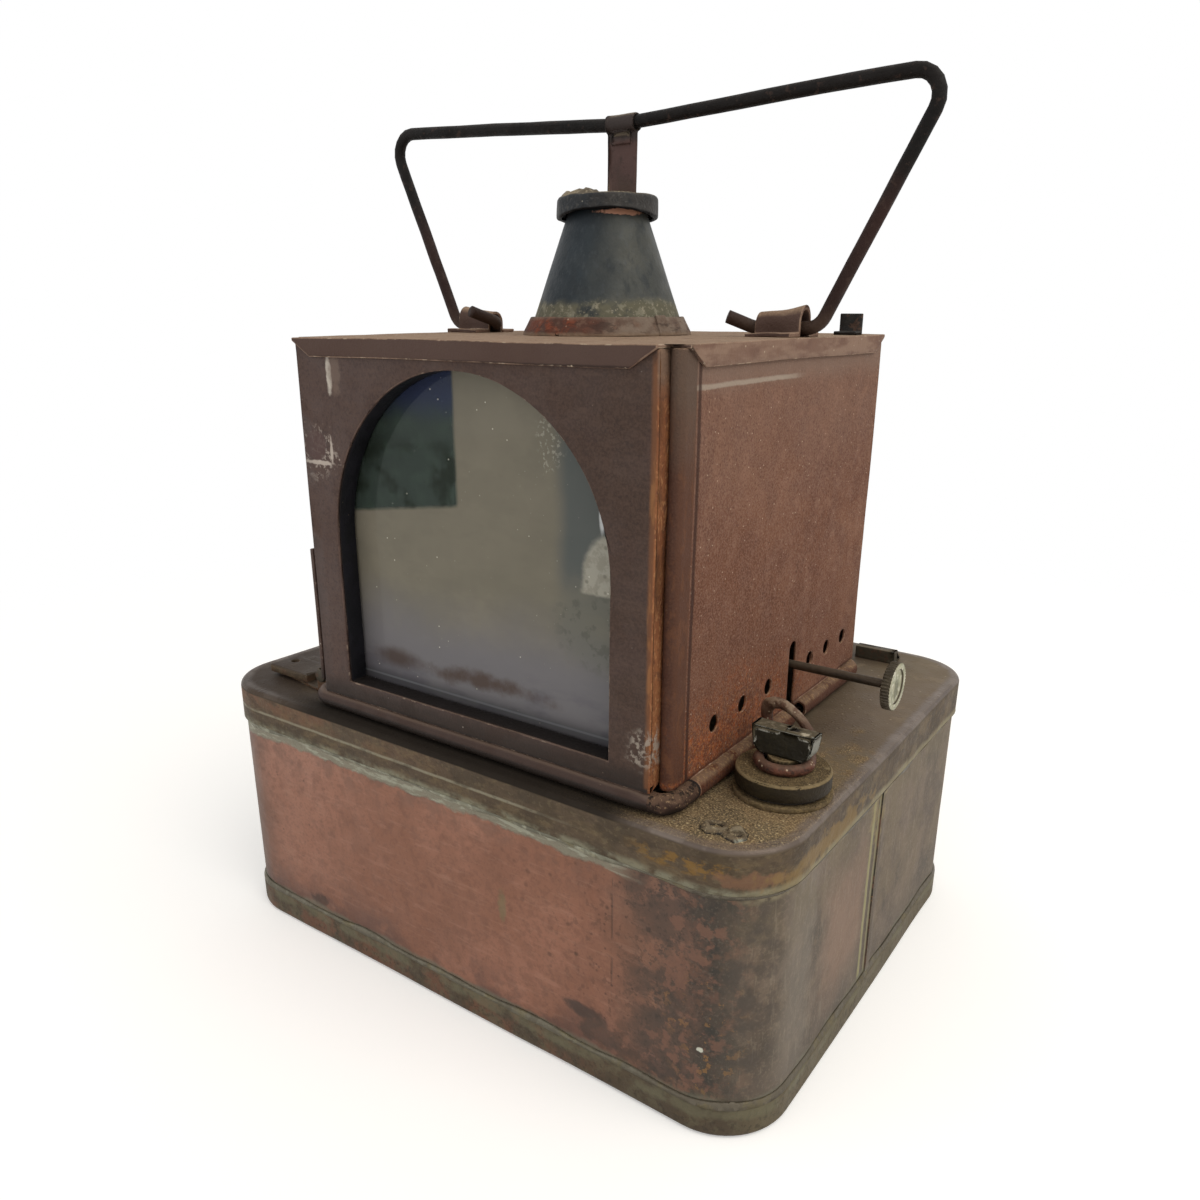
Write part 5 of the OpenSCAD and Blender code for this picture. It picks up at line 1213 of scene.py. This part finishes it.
# Cap. Copper, spun over a form, hammered and smoked grey-black: its dents catch small lights, and its crown
# is pale with dust. Its underside is painted nearly black, as shade.
cap_soot = new_finish("hammered_smoked_cap")
up = facing("Z", 0.55, 0.92)
underside_in_shade = facing("Z", 0.0, -0.5)
tint = coats("#25282b", [
    (mottle(5), "#302f2e", 0.8),
    (along("X", 8, 20, rag=3), "#393531", 0.7),
    (mottle(1.6, 0.55, 0.66, seed=0.6), "#1a1c1f", 0.6),
    (mottle(1.1, 0.55, 0.64, seed=1.6), "#4d4c49", 0.5),
    (up, "#5d5344", 0.85),
    (up, along("X", 5, -1, rag=2), mottle(3, 0.35, 0.55), "#8d8068", 0.85),
    (up, mottle(1, 0.52, 0.62, seed=0.3), "#a89b81", 0.5),
    (specks(2.8, 0.26), "#a5a294", 0.6),
    # Painted shade on the cap's underside.
    (underside_in_shade, "#08090a", 0.95)])
close_finish(
    tint, roughness=levels(0.58, [(up, 0.8)]), metal=levels(0.2, [(up, 0.0)]),
    raised=[(lumps(2.4), 0.16), (lumps(0.8), 0.04)], shine=0.3)
cap = sliced(cad_copy("flue_cap"), pitch=1.3)
toward_front = Vector((0.56, -0.83))
flue_axis = Vector((6.9, -8.2)) * mm
heap_place = Vector((2.4, -12)) * mm
cap_foot = 210.15 * mm
cap_tall = 5.6 * mm
rim_inside = 10 * mm
rim_lift = 2 * mm
crown_from = 0.7
heap_reach = 6.4
heap_height = 3.6
heap_grain = 1.6
heap_span = 2.4 * mm
for v in cap.verts:
    out = v.co.xy - flue_axis
    height = (v.co.z - cap_foot) / cap_tall
    front = max(0, out.normalized().dot(toward_front)) if out.length > rim_inside else 0
    v.co.z += rim_lift * front ** 1.5 * max(0, 1 - height) ** 0.8
    to_heap = (v.co.xy - heap_place).length / mm
    heap = max(0, 1 - to_heap / heap_reach) if height > crown_from else 0
    v.co.z += (heap_height + heap_grain * noise.noise(v.co / heap_span)) * heap ** 0.6 * mm
cap = piece_from(beaten(cap, ripple=0.25, ripple_span=4.5), "flue_cap_spun", [cap_soot])
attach(cap, "lantern")
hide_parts("flue_cap")

# Collar. Iron strip, bent to a cone, its end lapped and hammered down: dry rust without shine, red at the
# front and brown elsewhere.
collar_rust = new_finish("rusted_collar_strip")
red = both(along("X", -12, 2, rag=3), along("X", 18, 8, rag=3))
tint = coats("#4b3026", [
    (mottle(8), "#583b2f", 0.8),
    (red, mottle(4, 0.4, 0.56), "#7a3b22", 0.85),
    (along("X", 15, 24, rag=3), "#645347", 0.85),
    (mottle(2.5, 0.54, 0.66, seed=0.4), "#7d6150", 0.4),
    (along("X", 16, 22, rag=2), mottle(5, 0.4, 0.56, seed=0.9), "#857668", 0.6),
    (along("Z", 184.6, 185.8, rag=0.6, rag_size=4), "#75675a", 0.5),
    (mottle(2.4, 0.55, 0.62, stretch=(0.4, 0.4, 1.4), seed=0.5), "#2c1d17", 0.5),
    (along("Z", 182.2, 181.2, rag=0.3, rag_size=4), "#86715d", 0.7),
    (specks(2.4, 0.3, share=0.35), "#b5a48e", 0.6)])
close_finish(
    tint, roughness=0.78, metal=0.0,
    raised=[(lumps(1.0), 0.06), (lumps(4), 0.12)], shine=0.28)
collar = piece_from(beaten(sliced(cad_copy("flue_collar"), pitch=2), ripple=0.16, ripple_span=6),
                    "flue_collar_strip", [collar_rust])
eased(collar, width=0.18)
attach(collar, "lantern")
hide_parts("flue_collar")


# Handle. One iron wire is bent to bar, legs and feet. A flat strap is rolled over the bar and riveted to
# the flue's cap, and a bent sheet saddle holds each foot. The straps of the hinges close the assembly.

# Iron wire, drawn round and painted black. Hands have kept it smooth, and rubbed spots show on the right leg.
wire_brown = new_finish("handled_iron_wire")
right_leg = along("X", 70, 85)
up = facing("Z", 0.3, 0.95)
tint = coats("#110f0d", [
    (mottle(12), "#191513", 0.8),
    (along("Z", 222, 205, rag=4, rag_size=14), "#33231f", 0.8),
    (right_leg, along("Z", 218, 205, rag=3), "#3a2622", 0.7),
    (mottle(2.2, 0.56, 0.66, seed=0.5), "#46362f", 0.45),
    (up, mottle(16, 0.4, 0.6), "#27211d", 0.5),
    (right_leg, along("Z", 226, 222), specks(2.8, 0.34, stretch=(1, 1, 0.6)), "#a09288", 0.8),
    (specks(5, 0.26, share=0.3, seed=0.4), "#7d7167", 0.6),
    (along("Z", 189, 183, rag=1), "#4c3c31", 0.6)])
close_finish(
    tint, roughness=levels(0.55, [(mottle(5, 0.4, 0.6), 0.66)]), metal=0.1,
    raised=[(lumps(1.4), 0.09), (lumps(0.6), 0.03)], shine=0.15)
bar = cad_copy("handle_wire")
short = 4 * mm
long_edges = [edge for edge in bar.edges if edge.calc_length() > short]
bmesh.ops.subdivide_edges(bar, edges=long_edges, cuts=10, use_grid_fill=True)
bar = piece_from(beaten(bar, depth=0.32, ripple=0.10, ripple_span=8), "handle_wire_bent", [wire_brown])
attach(bar, "lantern")
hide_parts("handle_wire")

# Iron strip, rolled flat and hammered over the bar: brown, nearly matt, a little uneven, dusty on top.
strap_brown = new_finish("flat_iron_strap")
tint = coats("#42302a", [
    (mottle(9, stretch=(1, 1, 0.5)), "#503934", 0.8),
    (mottle(2.5, 0.54, 0.66, seed=0.4), "#33231e", 0.6),
    (along("Z", 222, 214, rag=2), "#59463a", 0.5),
    (along("Z", 228.4, 230.4, rag=0.5, rag_size=5), "#2b2421", 0.85),
    (facing("Z", 0.6, 0.95), "#7c6e5b", 0.7),
    (specks(3.4, 0.3), "#a39485", 0.6)])
close_finish(
    tint, roughness=0.62, metal=0.15, raised=[(lumps(1.6), 0.06)], shine=0.32)
strap = sliced(cad_copy("handle_strap"), pitch=1.6)
bar_y = -3.4 * mm
bar_z = 233.69 * mm
wire_skin = 1.85 * mm
clear_of_wire = 1.9 * mm
roll_foot = 231 * mm
roll_drawn_in = 0.55
tongue_y = -4.4 * mm
tongue_foot = 228 * mm
tongue_drawn_in = 0.5
for v in strap.verts:
    from_bar = Vector((0, v.co.y - bar_y, v.co.z - bar_z))
    if v.co.z > roll_foot and from_bar.length > clear_of_wire:
        v.co += from_bar.normalized() * (wire_skin - from_bar.length) * roll_drawn_in
    elif v.co.y < tongue_y and v.co.z > tongue_foot:
        v.co.y += (tongue_y - v.co.y) * tongue_drawn_in
strap = piece_from(beaten(strap, ripple=0.12, ripple_span=6), "handle_strap_flat", [strap_brown])
eased(strap, width=0.3)
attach(strap, "lantern")
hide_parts("handle_strap")

outer_rise = 1.5 * mm
sway = 0.7 * mm
bends = 5
for name, title in (("saddle_left", "left_handle_saddle"), ("saddle_right", "right_handle_saddle")):
    saddle = sliced(cad_copy(name), pitch=1.4)
    low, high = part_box(name)
    for v in saddle.verts:
        share = (v.co.x - low.x) / (high.x - low.x)
        height = max(0, (v.co.z - low.z) / (high.z - low.z))
        outward = share if name == "saddle_right" else 1 - share
        v.co.z += outer_rise * outward ** 2 * height
        v.co.y += sway * math.sin(bends * share) * (1 - height)
    saddle = piece_from(beaten(saddle, ripple=0.25, ripple_span=6), title, [roof_dust, roof_rubbed])
    eased(saddle, width=0.22, worn=1)
    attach(saddle, "lantern")
    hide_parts(name)

for name, title in (("hinge_strap_front", "front_hinge_strap"), ("hinge_strap_rear", "rear_hinge_strap")):
    leaf = piece_from(beaten(sliced(cad_copy(name), pitch=4)), title, [maroon, maroon_rubbed])
    eased(leaf, width=0.25, worn=1)
    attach(leaf, "lantern")
    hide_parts(name)
